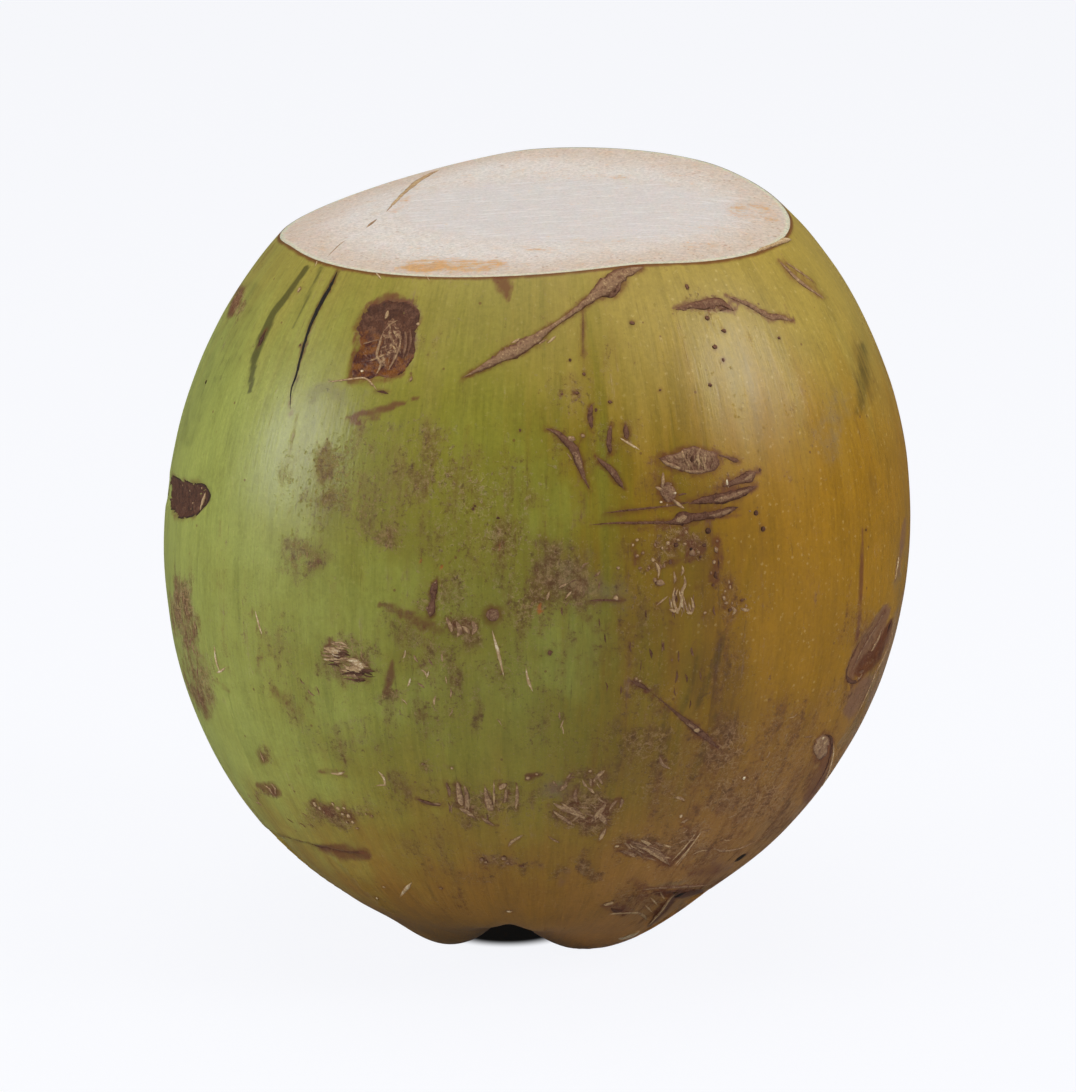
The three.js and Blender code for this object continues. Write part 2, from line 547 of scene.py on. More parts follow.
def skinMaterial():
    sheet = Sheet("greenSkin")
    look = {name: tint(*value) for name, value in skinLook.items() if name != "roughness"}
    at = objectPoint(sheet)
    x, y, z = sheet.split(at)
    radius = (x * x + y * y).maths("SQRT").most(1)
    polar = (1 - z / husk["halfHeight"]).least(1).most(-1).maths("ARCCOSINE")
    east, north = x / radius, y / radius
    girth = husk["radius"]
    meridian = sheet.join(east * girth, north * girth, polar * 9)  # 10 mm up the side counts as 1
    smear = sheet.join(east * girth, north * girth, z * 0.4)

    broad = sheet.noise(at, 34, 2)
    patchy = sheet.noise(at, 11, 4, 0.6)
    blotchy = sheet.noise(at, 3.2, 4, 0.65)
    grain = sheet.noise(at, 0.9, 3, 0.7)
    smudge = sheet.noise(smear, 4.5, 5, 0.7)
    wide = sheet.noise(meridian, 9, 3, 0.6)
    streak = sheet.noise(meridian, 3.0, 4, 0.6)
    fine = sheet.noise(meridian, 0.8, 3, 0.65)
    fibre = sheet.noise(meridian, 1.3, 4, 0.75)
    ragged = (blotchy - 0.5) * 1.5 + (grain - 0.5) * 0.9  # about 0, for torn edges
    speckle = sheet.noise(at, 1.6, 5, 0.85)
    dashed = sheet.noise(meridian, 1.1, 4, 0.8)

    # green, paler at the left, olive near the top, gold at the right, brown at the foot, and just above the
    # floor a paler brown that is painted bounce light
    left = ((broad - 0.5) * 0.35 + (patchy - 0.5) * 0.4 - east * 0.94 + north * 0.34).smooth(-0.05, 0.8)
    lush = (sheet.attribute("lush") + (patchy - 0.5) * 1.0 + (wide - 0.5) * 0.5).smooth(0.15, 1.0)
    colour = sheet.mix(lush * 0.9, look["leaf"], look["lush"])
    colour = sheet.mix(left, colour, look["lime"])
    height = z + (wide - 0.5) * 40 + (broad - 0.5) * 24
    colour = sheet.mix(height.smooth(130, 162) * 0.95, colour, look["olive"])
    gold = sheet.mix(height.smooth(112, 158), look["gold"], look["goldHigh"])
    gold = sheet.mix(height.smooth(88, 34), gold, look["goldLow"])
    right = east * 0.996 - north * 0.087 + (broad - 0.5) * 0.15 + (wide - 0.5) * 0.4 + (streak - 0.5) * 0.4
    right = right + height.smooth(118, 156) * 0.2 - lush * 0.1
    mossy = right.smooth(0.0, 0.42) * (1 - height.smooth(124, 156) * 0.8)
    colour = sheet.mix(mossy * 0.9, colour, look["moss"])
    golden = right.smooth(0.16, 0.68)
    colour = sheet.mix(golden, colour, gold)
    foot = (z + (wide - 0.5) * 34 + (patchy - 0.5) * 22 + left * 16 - right.clamp() * 8).smooth(70, 20)
    footColour = sheet.mix(right.smooth(0.1, 0.6), look["foot"], look["footRight"])
    # painted bounce light: the foot paler below about 18 millimetres, except on the left
    footColour = sheet.mix(z.smooth(18, 4) * (east + 0.3).smooth(-0.1, 0.3), footColour, look["footBounceLight"])
    colour = sheet.mix(foot * 0.95, colour, footColour)

    # fibres showing through as long soft streaks, and darker bands of them
    shade = 1 + (streak - 0.5) * 0.55 + (fine - 0.5) * 0.5 + (patchy - 0.5) * 0.3 + (grain - 0.5) * 0.5
    shade = shade + (smudge - 0.5) * 0.3
    colour = sheet.mix(1, colour, sheet.join(shade, shade, shade), "MULTIPLY")
    band = (sheet.attribute("band") + (streak - 0.5) * 2.4 + (fine - 0.5) * 0.8).smooth(0.15, 1.15)
    colour = sheet.mix(band * 0.66, colour, look["band"])

    # small pale dots, thick on the gold side, and sparse dark specks
    dots = sheet.cells(at, 1.7).smooth(0.3, 0.14) * grain.smooth(0.45, 0.62)
    colour = sheet.mix(dots * (golden * 0.22 + 0.1), colour, look["dot"])
    specks = sheet.cells(at, 6).smooth(0.07, 0.04)
    colour = sheet.mix(specks * 0.7, colour, look["scurf"])

    # weathering, with painted light among it: rubbed grey, which down the right edge is also a painted sheen;
    # dark olive streaks, with painted shade at the upper left; brown scurf, and the pale lace of dried scabs in
    # it; and painted shade in the hollows of the torn corner and the gouge
    # rubbed grey, and down the right edge a painted sheen
    veil = (sheet.attribute("veil") + ragged * 0.8).smooth(0.2, 1.0)
    colour = sheet.mix(veil * 0.55, colour, look["veil"])
    mauve = sheet.attribute("mauve") + ragged * 0.6 + (patchy - 0.5) * 0.8 + (streak - 0.5) * 0.9
    colour = sheet.mix(mauve.smooth(0.2, 0.95) * 0.82, colour, look["mauve"])
    # dark olive streaks, and at the upper left painted shade
    darkStreaksAndShade = (sheet.attribute("shade") + ragged * 0.35 + (fine - 0.5) * 0.6).smooth(0.2, 0.8)
    colour = sheet.mix(darkStreaksAndShade * 0.75, colour, look["shade"])
    russet = sheet.attribute("russet") - left * 0.1 - golden * 0.06
    worn = (smudge - 0.5) * 1.9 + (wide - 0.5) * 0.8
    rusty = (russet * 0.85 + worn * 1.1 + ragged * 0.6 + 0.08).smooth(0.3, 1.1)
    colour = sheet.mix(rusty * 0.76, colour, sheet.mix(golden, look["scurf"], look["scurfRight"]))
    pepper = (speckle + russet * 0.15 + worn * 0.14).smooth(0.6, 0.76)
    colour = sheet.mix(pepper * 0.68, colour, look["mould"])
    crumbs = (russet * 0.13 + worn * 0.06 + veil * 0.07 - speckle).smooth(-0.38, -0.28)
    colour = sheet.mix(crumbs * (0.5 - golden * 0.16), colour, look["crumb"])
    dashes = (dashed + band * 0.09 + russet * 0.04 + (wide - 0.5) * 0.2).smooth(0.62, 0.76)
    colour = sheet.mix(dashes * 0.5, colour, look["mould"])
    bruise = (sheet.attribute("bruise") + ragged * 0.6 + worn * 0.3 + (fine - 0.5) * 0.6).smooth(0.2, 0.95)
    colour = sheet.mix(bruise * 0.82, colour, look["bruise"])
    # painted shade in the hollows of the torn corner and the gouge
    gully = (sheet.attribute("gully") + ragged * 0.3).smooth(0.2, 0.8)
    colour = sheet.mix(gully * 0.9, colour, look["gully"])
    frayed = (patchy - 0.5) * 1.6 + (streak - 0.5) * 1.8 + (fine - 0.5) * 1.4
    peel = (sheet.attribute("peel") + ragged * 0.7 + frayed).smooth(0.35, 1.25)
    colour = sheet.mix(peel * 0.6, colour, sheet.mix(fibre.smooth(0.4, 0.6), look["mauve"], look["peel"]))
    rust = (sheet.attribute("rust") + ragged * 0.4).smooth(0.3, 0.9)
    colour = sheet.mix(rust * 0.8, colour, look["rust"])
    winding = abs(sheet.noise(at, 1.7, 2, 0.5) - 0.5).smooth(0.05, 0.015)
    lace = winding * (russet + (grain - 0.5) * 2 + (patchy - 0.5)).smooth(0.5, 0.9)
    colour = sheet.mix(lace * 0.5, colour, look["lace"])
    flecks = grain.smooth(0.58, 0.68) * (russet + veil * 0.5 + 0.3 + worn * 0.6).smooth(0.25, 0.9)
    colour = sheet.mix(flecks * 0.5, colour, look["fleck"])
    chaff = grain.smooth(0.4, 0.32) * (russet + 0.15 + worn * 0.6).smooth(0.3, 0.9)
    colour = sheet.mix(chaff * 0.4, colour, look["lace"])
    fringe = (sheet.attribute("fringe") + ragged * 0.7).smooth(0.2, 1.0)
    colour = sheet.mix(fringe * 0.76, colour, look["edgeBrown"])

    # the skin's cut edge
    rim = sheet.attribute("rim")  # millimetres below the rim
    colour = sheet.mix((rim + (blotchy - 0.5) * 0.8).smooth(1.1, 0.3) * 0.85, colour, look["edgeBrown"])

    rough = skinLook["roughness"] + (streak - 0.5) * 0.14 + rusty * 0.22
    rough = rough + lace * 0.1 + veil * 0.12 + foot * 0.06
    height = fine * 0.1 + peel * fibre * 0.5 + grain * 0.07 + streak * 0.12 + rusty * ragged * 0.25
    height = height + lace * 0.35 + crumbs * 0.3 - band * 0.05
    return sheet.finish(colour, rough, height, 0.5)


# soft patches on the skin, in the frame: across, down, half width, half height, strength
blots = {
    "russet": [
        (236, 304, 9, 20, 1.0), (262, 262, 20, 14, 0.5), (184, 606, 14, 36, 1.1), (200, 676, 18, 44, 0.9),
        (190, 640, 12, 30, 0.9), (340, 470, 34, 26, 0.7), (332, 500, 30, 16, 0.8), (350, 510, 28, 24, 0.7),
        (392, 532, 22, 20, 0.8), (302, 556, 28, 20, 0.7), (368, 500, 60, 50, 0.6), (420, 470, 50, 40, 0.62),
        (480, 500, 50, 60, 0.55), (676, 546, 42, 22, 0.72), (654, 566, 22, 12, 0.7), (702, 541, 16, 14, 0.8),
        (348, 660, 26, 26, 0.75), (430, 600, 10, 16, 0.9), (462, 630, 22, 12, 0.85), (264, 756, 12, 8, 0.85),
        (268, 790, 10, 9, 0.85), (334, 815, 36, 14, 0.9), (486, 802, 42, 24, 0.75), (588, 810, 40, 20, 0.9),
        (590, 776, 28, 12, 0.7), (648, 852, 38, 14, 1.0), (700, 846, 50, 24, 0.85), (726, 690, 40, 60, 0.5),
        (690, 770, 70, 50, 0.6), (790, 745, 46, 60, 0.7), (760, 800, 50, 46, 0.85), (640, 905, 40, 18, 0.8),
        (690, 880, 40, 12, 0.7), (294, 704, 22, 36, 0.4), (250, 620, 22, 46, 0.45), (440, 700, 60, 60, 0.45),
        (540, 690, 30, 60, 0.35), (350, 745, 66, 30, 0.35), (400, 790, 50, 20, 0.5), (490, 860, 50, 20, 0.55),
        (440, 850, 60, 26, 0.3), (612, 440, 30, 26, 0.45), (576, 400, 30, 26, 0.45), (730, 600, 34, 34, 0.55),
        (640, 640, 40, 60, 0.45), (862, 640, 22, 50, 0.6), (704, 306, 34, 12, 0.55), (560, 580, 60, 40, 0.65),
        (500, 570, 30, 60, 0.5), (700, 480, 60, 30, 0.4), (600, 360, 20, 30, 0.3), (850, 700, 30, 30, 0.6),
        (560, 740, 70, 40, 0.4), (270, 660, 30, 40, 0.4), (812, 420, 24, 50, 0.3), (400, 330, 40, 20, 0.3),
        (470, 900, 60, 20, 0.2), (610, 740, 60, 40, 0.45), (650, 690, 40, 30, 0.5), (482, 860, 10, 6, 0.9),
        (504, 859, 10, 8, 0.9), (522, 866, 8, 8, 0.8), (590, 868, 14, 8, 0.8), (610, 862, 10, 6, 0.7),
        (565, 873, 12, 5, 0.7), (660, 800, 30, 30, 0.6), (430, 770, 14, 8, 0.7), (463, 795, 10, 16, 0.8),
        (490, 798, 8, 16, 0.8), (505, 792, 6, 10, 0.8), (470, 818, 26, 6, 0.7), (540, 790, 20, 16, 0.5),
        (420, 440, 30, 30, 0.5), (360, 450, 30, 20, 0.6), (450, 540, 40, 50, 0.55), (530, 620, 30, 40, 0.5),
        (420, 640, 40, 30, 0.4), (330, 700, 30, 30, 0.25), (640, 600, 30, 40, 0.45), (740, 640, 20, 50, 0.45),
        (500, 540, 40, 30, 0.7), (520, 600, 30, 40, 0.7), (370, 430, 40, 20, 0.5), (384, 500, 30, 30, 0.6),
        (450, 590, 30, 40, 0.6), (650, 740, 40, 30, 0.8), (720, 745, 30, 40, 0.9), (510, 670, 24, 40, 0.6),
        (740, 800, 40, 30, 0.9), (780, 810, 24, 30, 0.9), (560, 440, 30, 20, 0.4), (436, 660, 24, 30, 0.6),
        (390, 690, 14, 12, 0.8), (452, 680, 16, 24, 0.7), (410, 640, 14, 16, 0.7), (480, 690, 10, 20, 0.5),
        (660, 770, 40, 30, 0.6), (760, 700, 20, 30, 0.4), (300, 480, 14, 30, 0.35), (282, 640, 12, 30, 0.5),
    ],
    "band": [
        (716, 680, 40, 70, 0.75), (690, 620, 50, 60, 0.5), (706, 560, 44, 60, 0.55), (716, 500, 40, 40, 0.5),
        (648, 744, 40, 30, 0.4), (650, 560, 60, 60, 0.35), (470, 480, 60, 50, 0.35),
        (740, 560, 24, 50, 0.4), (640, 760, 60, 50, 0.4), (700, 760, 60, 60, 0.45), (500, 600, 30, 60, 0.3),
        (610, 640, 30, 60, 0.35), (862, 380, 14, 44, 0.6), (880, 460, 14, 60, 0.3), (530, 560, 30, 50, 0.4),
        (420, 560, 30, 40, 0.3), (680, 500, 60, 30, 0.3), (590, 340, 30, 60, 0.25), (840, 620, 30, 60, 0.3),
    ],
    # rubbed grey patches; the narrow ones down the right edge also stand for a painted sheen
    "veil": [
        (890, 650, 6, 40, 0.6), (874, 700, 8, 34, 0.9), (856, 735, 10, 28, 0.8), (900, 590, 5, 50, 0.6),
        (820, 785, 10, 26, 0.5), (770, 838, 20, 16, 0.5), (678, 886, 34, 4, 0.9), (560, 786, 18, 12, 0.7),
        (580, 582, 46, 26, 0.8), (554, 566, 30, 20, 0.6), (600, 600, 26, 18, 0.5), (832, 424, 20, 44, 0.55),
        (326, 390, 24, 12, 0.8), (346, 400, 30, 10, 0.5), (380, 420, 40, 20, 0.3), (584, 800, 34, 20, 0.4),
        (486, 800, 40, 20, 0.3), (240, 690, 30, 50, 0.2), (350, 740, 60, 30, 0.3), (760, 760, 80, 60, 0.1),
    ],
    "lush": [
        (566, 640, 40, 60, 1.0), (480, 600, 50, 40, 0.5), (300, 610, 60, 60, 0.6), (220, 520, 40, 120, 0.7),
        (380, 600, 50, 60, 0.8), (400, 700, 60, 50, 0.7), (340, 680, 60, 60, 0.8), (240, 580, 40, 60, 0.8),
        (340, 590, 40, 40, 0.7), (510, 680, 50, 60, 0.6), (480, 420, 80, 40, 0.4),
        (540, 500, 40, 60, 0.5), (290, 730, 60, 40, 0.5), (450, 360, 60, 30, 0.4),
    ],
}
# strokes on the skin, in the frame: a strength, and a path across, down and half width in pixels
strokes = {
    "bruise": [
        (0.6, [(454, 784, 3), (461, 800, 6), (470, 812, 4)]),
        (0.6, [(486, 788, 3), (490, 804, 6), (496, 818, 3)]),
        (0.6, [(500, 784, 4), (507, 792, 4)]),
        (0.5, [(516, 782, 2), (517, 808, 3)]),
        (0.5, [(466, 812, 3), (490, 824, 3)]),
        (0.9, [(528, 777, 4), (540, 774, 3)]),
        (0.5, [(598, 840, 3), (606, 828, 3)]),
        (0.5, [(566, 780, 4), (574, 772, 3)]),
        (0.5, [(446, 782, 3), (450, 796, 2)]),
        (0.6, [(594, 784, 4), (604, 772, 4)]),
        (0.5, [(446, 618, 4), (460, 630, 6), (474, 622, 5)]),
        (0.5, [(600, 838, 3), (618, 848, 5), (634, 852, 5)]),
        (0.5, [(514, 842, 3), (524, 836, 2)]),
        (0.5, [(678, 818, 4), (688, 830, 3)]),
        (0.85, [(241, 288, 3), (236, 301, 4), (230, 316, 3)]), (0.6, [(450, 562, 1.6), (442, 567, 1.2)]),
        (0.7, [(462, 545, 1.2), (458, 555, 1.6), (450, 562, 1.6)]),
        (0.6, [(492, 533, 1), (486, 536, 1.4), (482, 546, 1)]),
        (0.7, [(328, 640, 3), (338, 656, 9), (356, 668, 11), (368, 680, 5)]),
        (1.0, [(340, 421, 1), (358, 415, 2.5), (380, 410, 4), (402, 403, 2.5), (420, 397, 1)]),
        (0.8, [(338, 426, 0.8), (364, 422, 2), (386, 417, 1)]),
        (1.0, [(500, 278, 7), (504, 286, 8), (507, 296, 3), (508, 302, 1)]),
        (0.9, [(392, 662, 2), (391, 676, 5), (385, 694, 2)]),
        (0.75, [(380, 604, 3), (404, 614, 6), (425, 625, 7), (440, 631, 5)]),
        (0.6, [(176, 578, 3), (180, 600, 5), (188, 622, 10), (189, 646, 5)]),
        (0.5, [(192, 668, 4), (200, 690, 8), (208, 716, 5)]), (0.5, [(262, 655, 3), (258, 670, 4)]),
        (0.7, [(252, 610, 2), (258, 630, 2), (262, 640, 1)]), (0.6, [(212, 680, 2), (228, 690, 3)]),
        (0.5, [(318, 560, 5), (304, 575, 4)]), (0.6, [(274, 690, 5), (290, 710, 4)]),
        (0.9, [(320, 848, 3), (345, 852, 8), (368, 856, 4)]),
        (0.8, [(676, 308, 4), (704, 304, 7), (734, 310, 4)]),
        (0.6, [(727, 296, 3), (768, 316, 5), (792, 321, 3)]),
        (0.6, [(779, 261, 4), (795, 277, 7), (823, 297, 4)]),
        (0.6, [(640, 530, 3), (700, 520, 5), (740, 514, 3)]),
        (0.9, [(632, 680, 2), (641, 685, 4), (650, 692, 2)]), (0.7, [(652, 694, 1.2), (680, 717, 2)]),
        (0.9, [(680, 717, 2), (697, 730, 4.5), (710, 741, 3), (722, 751, 1)]),
        (0.8, [(863, 530, 1.5), (861, 590, 2), (857, 640, 2)]),
        (0.8, [(830, 742, 5), (821, 777, 6), (806, 800, 4)]),
        (0.9, [(366, 306, 2), (388, 298, 6), (410, 302, 4), (420, 313, 2)]),
        (0.8, [(356, 334, 3), (354, 362, 3), (350, 380, 4), (376, 381, 4), (402, 374, 3)]),
        (0.7, [(668, 548, 3), (676, 540, 5), (684, 531, 4)]), (0.7, [(690, 545, 5), (692, 558, 6)]),
        (0.7, [(716, 538, 4), (719, 560, 5), (713, 582, 5)]), (0.6, [(704, 544, 4), (700, 558, 4)]),
        (0.6, [(636, 552, 3), (634, 566, 3), (650, 569, 3), (668, 564, 5), (682, 560, 4)]),
        (0.7, [(690, 870, 6), (706, 872, 8), (716, 868, 5)]),
        (0.7, [(604, 905, 4), (616, 909, 5), (630, 910, 4)]),
        (0.6, [(634, 880, 4), (646, 890, 6), (640, 900, 5)]),
        (0.7, [(548, 806, 4), (566, 814, 8), (586, 820, 5)]),
        (0.7, [(594, 822, 5), (604, 808, 7), (618, 804, 5)]),
        (0.7, [(626, 846, 5), (650, 852, 9), (670, 862, 6)]),
        (0.6, [(545, 428, 3), (574, 448, 6), (589, 490, 2)]),
        (0.6, [(596, 458, 3), (612, 472, 6), (625, 488, 2)]),
        (0.6, [(656, 476, 5), (668, 492, 10), (684, 508, 4)]),
        (0.6, [(680, 505, 4), (720, 495, 7), (756, 487, 4)]),
        (0.6, [(716, 488, 4), (744, 478, 7), (757, 472, 4)]),
        (0.8, [(258, 785, 3), (270, 789, 7), (278, 793, 4)]), (0.7, [(259, 752, 4), (264, 759, 6)]),
        (0.6, [(318, 771, 2), (335, 772, 4), (346, 776, 3)]),
        (0.7, [(326, 846, 3), (346, 850, 6), (366, 852, 5)]),
        (0.6, [(314, 803, 5), (324, 811, 6), (340, 808, 8), (354, 822, 6)]),
        (0.6, [(718, 455, 4), (738, 461, 3)]),
        (0.5, [(650, 460, 4), (690, 447, 6), (722, 460, 6), (700, 474, 5), (660, 466, 4)]),
        (0.6, [(460, 380, 3), (516, 350, 8), (560, 322, 4), (606, 287, 10), (640, 267, 5)]),
    ],
    "rust": [
        (1.0, [(437, 564, 2), (442, 566, 2.4)]),
        (1.0, [(539, 604, 2.2), (540, 612, 3.4)]),
        (0.7, [(416, 557, 1.6), (420, 561, 1.6)]),
        (0.5, [(498, 540, 1.5), (500, 552, 1.2)]),
    ],
    # painted shade in the hollows: down the gouge's furrow, under the torn corner's ledge and beside its ridge
    "gully": [
        (1.0, [(891, 622, 2), (884, 640, 4), (876, 653, 6), (867, 664, 7), (858, 673, 4)]),
        (1.0, [(652, 893, 1), (664, 894, 3), (680, 894, 4), (702, 891, 1.5)]),
        (0.9, [(672, 899, 3), (664, 907, 4.5), (655, 918, 3), (649, 926, 1)]),
    ],
    "peel": [
        (1.0, [(905, 590, 2), (899, 613, 3), (892, 636, 3.5), (886, 658, 4.5), (879, 680, 5), (869, 708, 4),
               (859, 732, 3)]),
        (0.75, [(860, 726, 4), (844, 756, 6), (822, 790, 6), (792, 822, 5)]),
        (0.55, [(704, 899, 4), (688, 908, 6), (668, 921, 5)]),
        (0.7, [(640, 889, 1), (664, 887, 2), (690, 886, 2), (712, 883, 2)]),
        (0.5, [(722, 868, 3), (742, 856, 4), (768, 838, 4)]),
    ],
    "mauve": [
        (1.0, [(886, 609, 4), (879, 625, 7), (871, 640, 9), (862, 654, 8), (854, 668, 6), (851, 677, 4)]),
        (0.9, [(868, 680, 5), (860, 692, 8), (849, 712, 6)]),
        (0.7, [(906, 518, 2), (902, 540, 3), (896, 580, 2)]),
        (0.6, [(552, 786, 5), (568, 794, 8), (586, 788, 6), (604, 776, 4)]),
        (0.5, [(478, 858, 4), (506, 860, 6), (540, 866, 4)]),
        (0.5, [(566, 872, 5), (560, 884, 4)]), (0.5, [(700, 850, 8), (724, 866, 8), (716, 880, 5)]),
    ],
    "shade": [
        # painted shade: this first stroke darkens the upper left, where less light falls
        (0.38, [(252, 290, 12), (228, 345, 22), (200, 400, 14), (186, 440, 8)]),
        (1.0, [(306, 268, 2), (286, 297, 2.5), (273, 313, 3), (262, 338, 3.5), (254, 360, 2.5), (250, 392, 2)]),
        (0.6, [(322, 266, 2), (306, 300, 2), (292, 330, 1)]),
        (0.6, [(338, 270, 3), (328, 290, 3), (319, 307, 3.5), (309, 330, 2.5), (300, 360, 2), (290, 412, 1)]),
        (0.5, [(862, 345, 5), (864, 380, 7), (858, 412, 5)]),
        (0.6, [(241, 290, 3), (235, 303, 4), (229, 316, 3)]),
        (0.48, [(724, 634, 3), (714, 668, 4), (700, 700, 4), (692, 716, 2)]),
        (0.42, [(700, 650, 3), (690, 690, 4), (680, 716, 3)]),
        (0.44, [(668, 706, 5), (664, 740, 7), (656, 776, 4)]),
        (0.44, [(716, 716, 4), (704, 752, 6), (690, 780, 4)]),
        (0.38, [(628, 700, 3), (622, 740, 4), (618, 770, 3)]),
    ],
}
behind = {
    "turns": (118, 241),  # the same kinds of patches and marks, again, round the two hidden thirds
    "kept": 0.62,
    "shift": 60,
}


def blotted(points, facing, kind):
    # how strongly a kind of patch shows at each point, on the side in view and round the back
    draw = random.Random(kind)
    amount = np.zeros(len(points))
    for turn in (0, *behind["turns"]):
        u, v = framed(points, turn)
        seen = smooth(0.02, 0.2, facing[turn]) * (smooth(0.05, -0.1, facing[0]) if turn else 1)
        for across, down, halfWide, halfHigh, strength in blots[kind]:
            if turn:
                across = view["frame"][0] - across + draw.uniform(-1, 1) * behind["shift"]
                down += draw.uniform(-1, 1) * behind["shift"]
                if draw.random() > behind["kept"]:
                    continue
            gap = ovalField(u, v, across, down, halfWide, halfHigh)
            amount = np.maximum(amount, strength * seen * (1 - smooth(0.2, 1.7, gap)))
    return amount


def stroked(points, facing, kind):
    # how strongly a kind of stroke shows at each point
    draw = random.Random(kind)
    amount = np.zeros(len(points))
    for turn in (0, *behind["turns"]):
        u, v = framed(points, turn)
        seen = smooth(-0.03, 0.06, facing[turn]) * (smooth(0.05, -0.1, facing[0]) if turn else 1)
        for strength, path in strokes[kind]:
            if turn:
                along, down = (draw.uniform(-1, 1) * behind["shift"] for _ in range(2))
                path = [(view["frame"][0] - a + along, b + down, half) for a, b, half in path]
                if draw.random() > behind["kept"]:
                    continue
            for start, end in zip(path, path[1:]):
                gap, share, _ = stretchField(u, v, start, end)
                reach = start[2] + (end[2] - start[2]) * share
                amount = np.maximum(amount, strength * seen * (1 - smooth(0.4, 1.9, gap / reach)))
    return amount


wander = ((8, 4), (2.4, 1.6))  # wavelength and reach, in millimetres


def wandered(points):
    # points moved about a little, so that what is painted by them has uneven edges
    places = [Vector(p) for p in points.tolist()]
    return np.array([sum((noise.noise_vector(p / size) * reach for size, reach in wander), p) for p in places])


def addAttribute(bm, name, values):
    layer = bm.verts.layers.float.new(name)
    for v, value in zip(bm.verts, values.tolist()):
        v[layer] = value


def facings(outward):
    # how squarely each point faces each view, 1 straight on and below 0 hidden
    return {turn: -(outward @ np.array(viewAxes(turn)[3])) for turn in (0, *behind["turns"])}


def belowRim(points):
    # millimetres below the rim, measured down the skin, and less than 0 on the slice
    fromRim = KDTree(len(rimPoints))
    for index, point in enumerate(rimPoints - boxMiddle):
        fromRim.insert(point, index)
    fromRim.balance()
    over = points[:, 2] - sliceHeights(*(points + boxMiddle).T[:2])
    gaps = [fromRim.find(p)[2] if h > -8 else 9.0 for p, h in zip(points.tolist(), over)]
    return np.array(gaps)


cutFace = {
    "columns": 360,
    "topRows": 64,
    "inset": 0.2,  # millimetres inside the skin's edge
    "proud": 0.12,
    "thick": 0.8,
    "core": (570, 211, 182, 34),  # the smooth middle in the frame: across, down, half sizes
    "ripple": 0.05,
    "cream": (216, 206, 198),
    "coreWhite": (212, 203, 199),
    "streakWhite": (230, 223, 219),
    "tan": (201, 180, 161),
    "fibre": (164, 122, 94),
    "stainColour": (198, 148, 88),
    "border": (208, 206, 178),
    "roughness": 0.62,
}
cutStains = [
    (586, 177, 62, 3.5, 0.5), (548, 250, 26, 3.5, 0.55), (460, 265, 60, 7, 1.15), (428, 267, 30, 5, 1.5),
    (749, 210, 24, 8, 0.8), (770, 218, 12, 5, 0.7), (396, 208, 12, 5, 0.5), (404, 198, 10, 5, 0.5),
    (430, 174, 10, 4, 0.6),
    (412, 186, 8, 5, 0.6), (700, 245, 30, 3, 0.35), (330, 250, 14, 6, 0.35),
    (604, 240, 46, 3, 0.42), (520, 172, 30, 3, 0.4), (704, 228, 30, 3, 0.4),
]


def cutPlaces(shares):
    # rows run from the middle out over the top, down the edge, and back under to the middle
    azimuth = columnAzimuths(np.where(shares[:, 0] > 1 - 1e-6, 0, shares[:, 0]))
    rows = cutFace["topRows"] + 8
    row = shares[:, 1] * rows
    out = np.clip(row / cutFace["topRows"], 0, 1) ** 0.9
    back = np.clip((row - cutFace["topRows"] - 2) / 6, 0, 1)
    down = np.clip((row - cutFace["topRows"]) / 2, 0, 1)
    rimAround = skinPoints(azimuth, rimAt(azimuth))
    spoke = rimAround - rimMiddle
    length = np.hypot(spoke[:, 0], spoke[:, 1])[:, None]
    share = out * (1 - back)
    place = rimMiddle + spoke * (1 - cutFace["inset"] / length) * share[:, None]
    ripple = np.array([noise.noise(Vector((x / 26, y / 5, 3))) for x, y, z in place.tolist()])
    rounded = 0.1 * smooth(0.985, 1, out)
    lift = cutFace["proud"] + cutFace["ripple"] * ripple - rounded
    place[:, 2] = sliceHeights(place[:, 0], place[:, 1]) + lift - cutFace["thick"] * down
    gap = length[:, 0] * (1 - share)
    return place - boxMiddle, np.where(row > cutFace["topRows"], 0, gap)


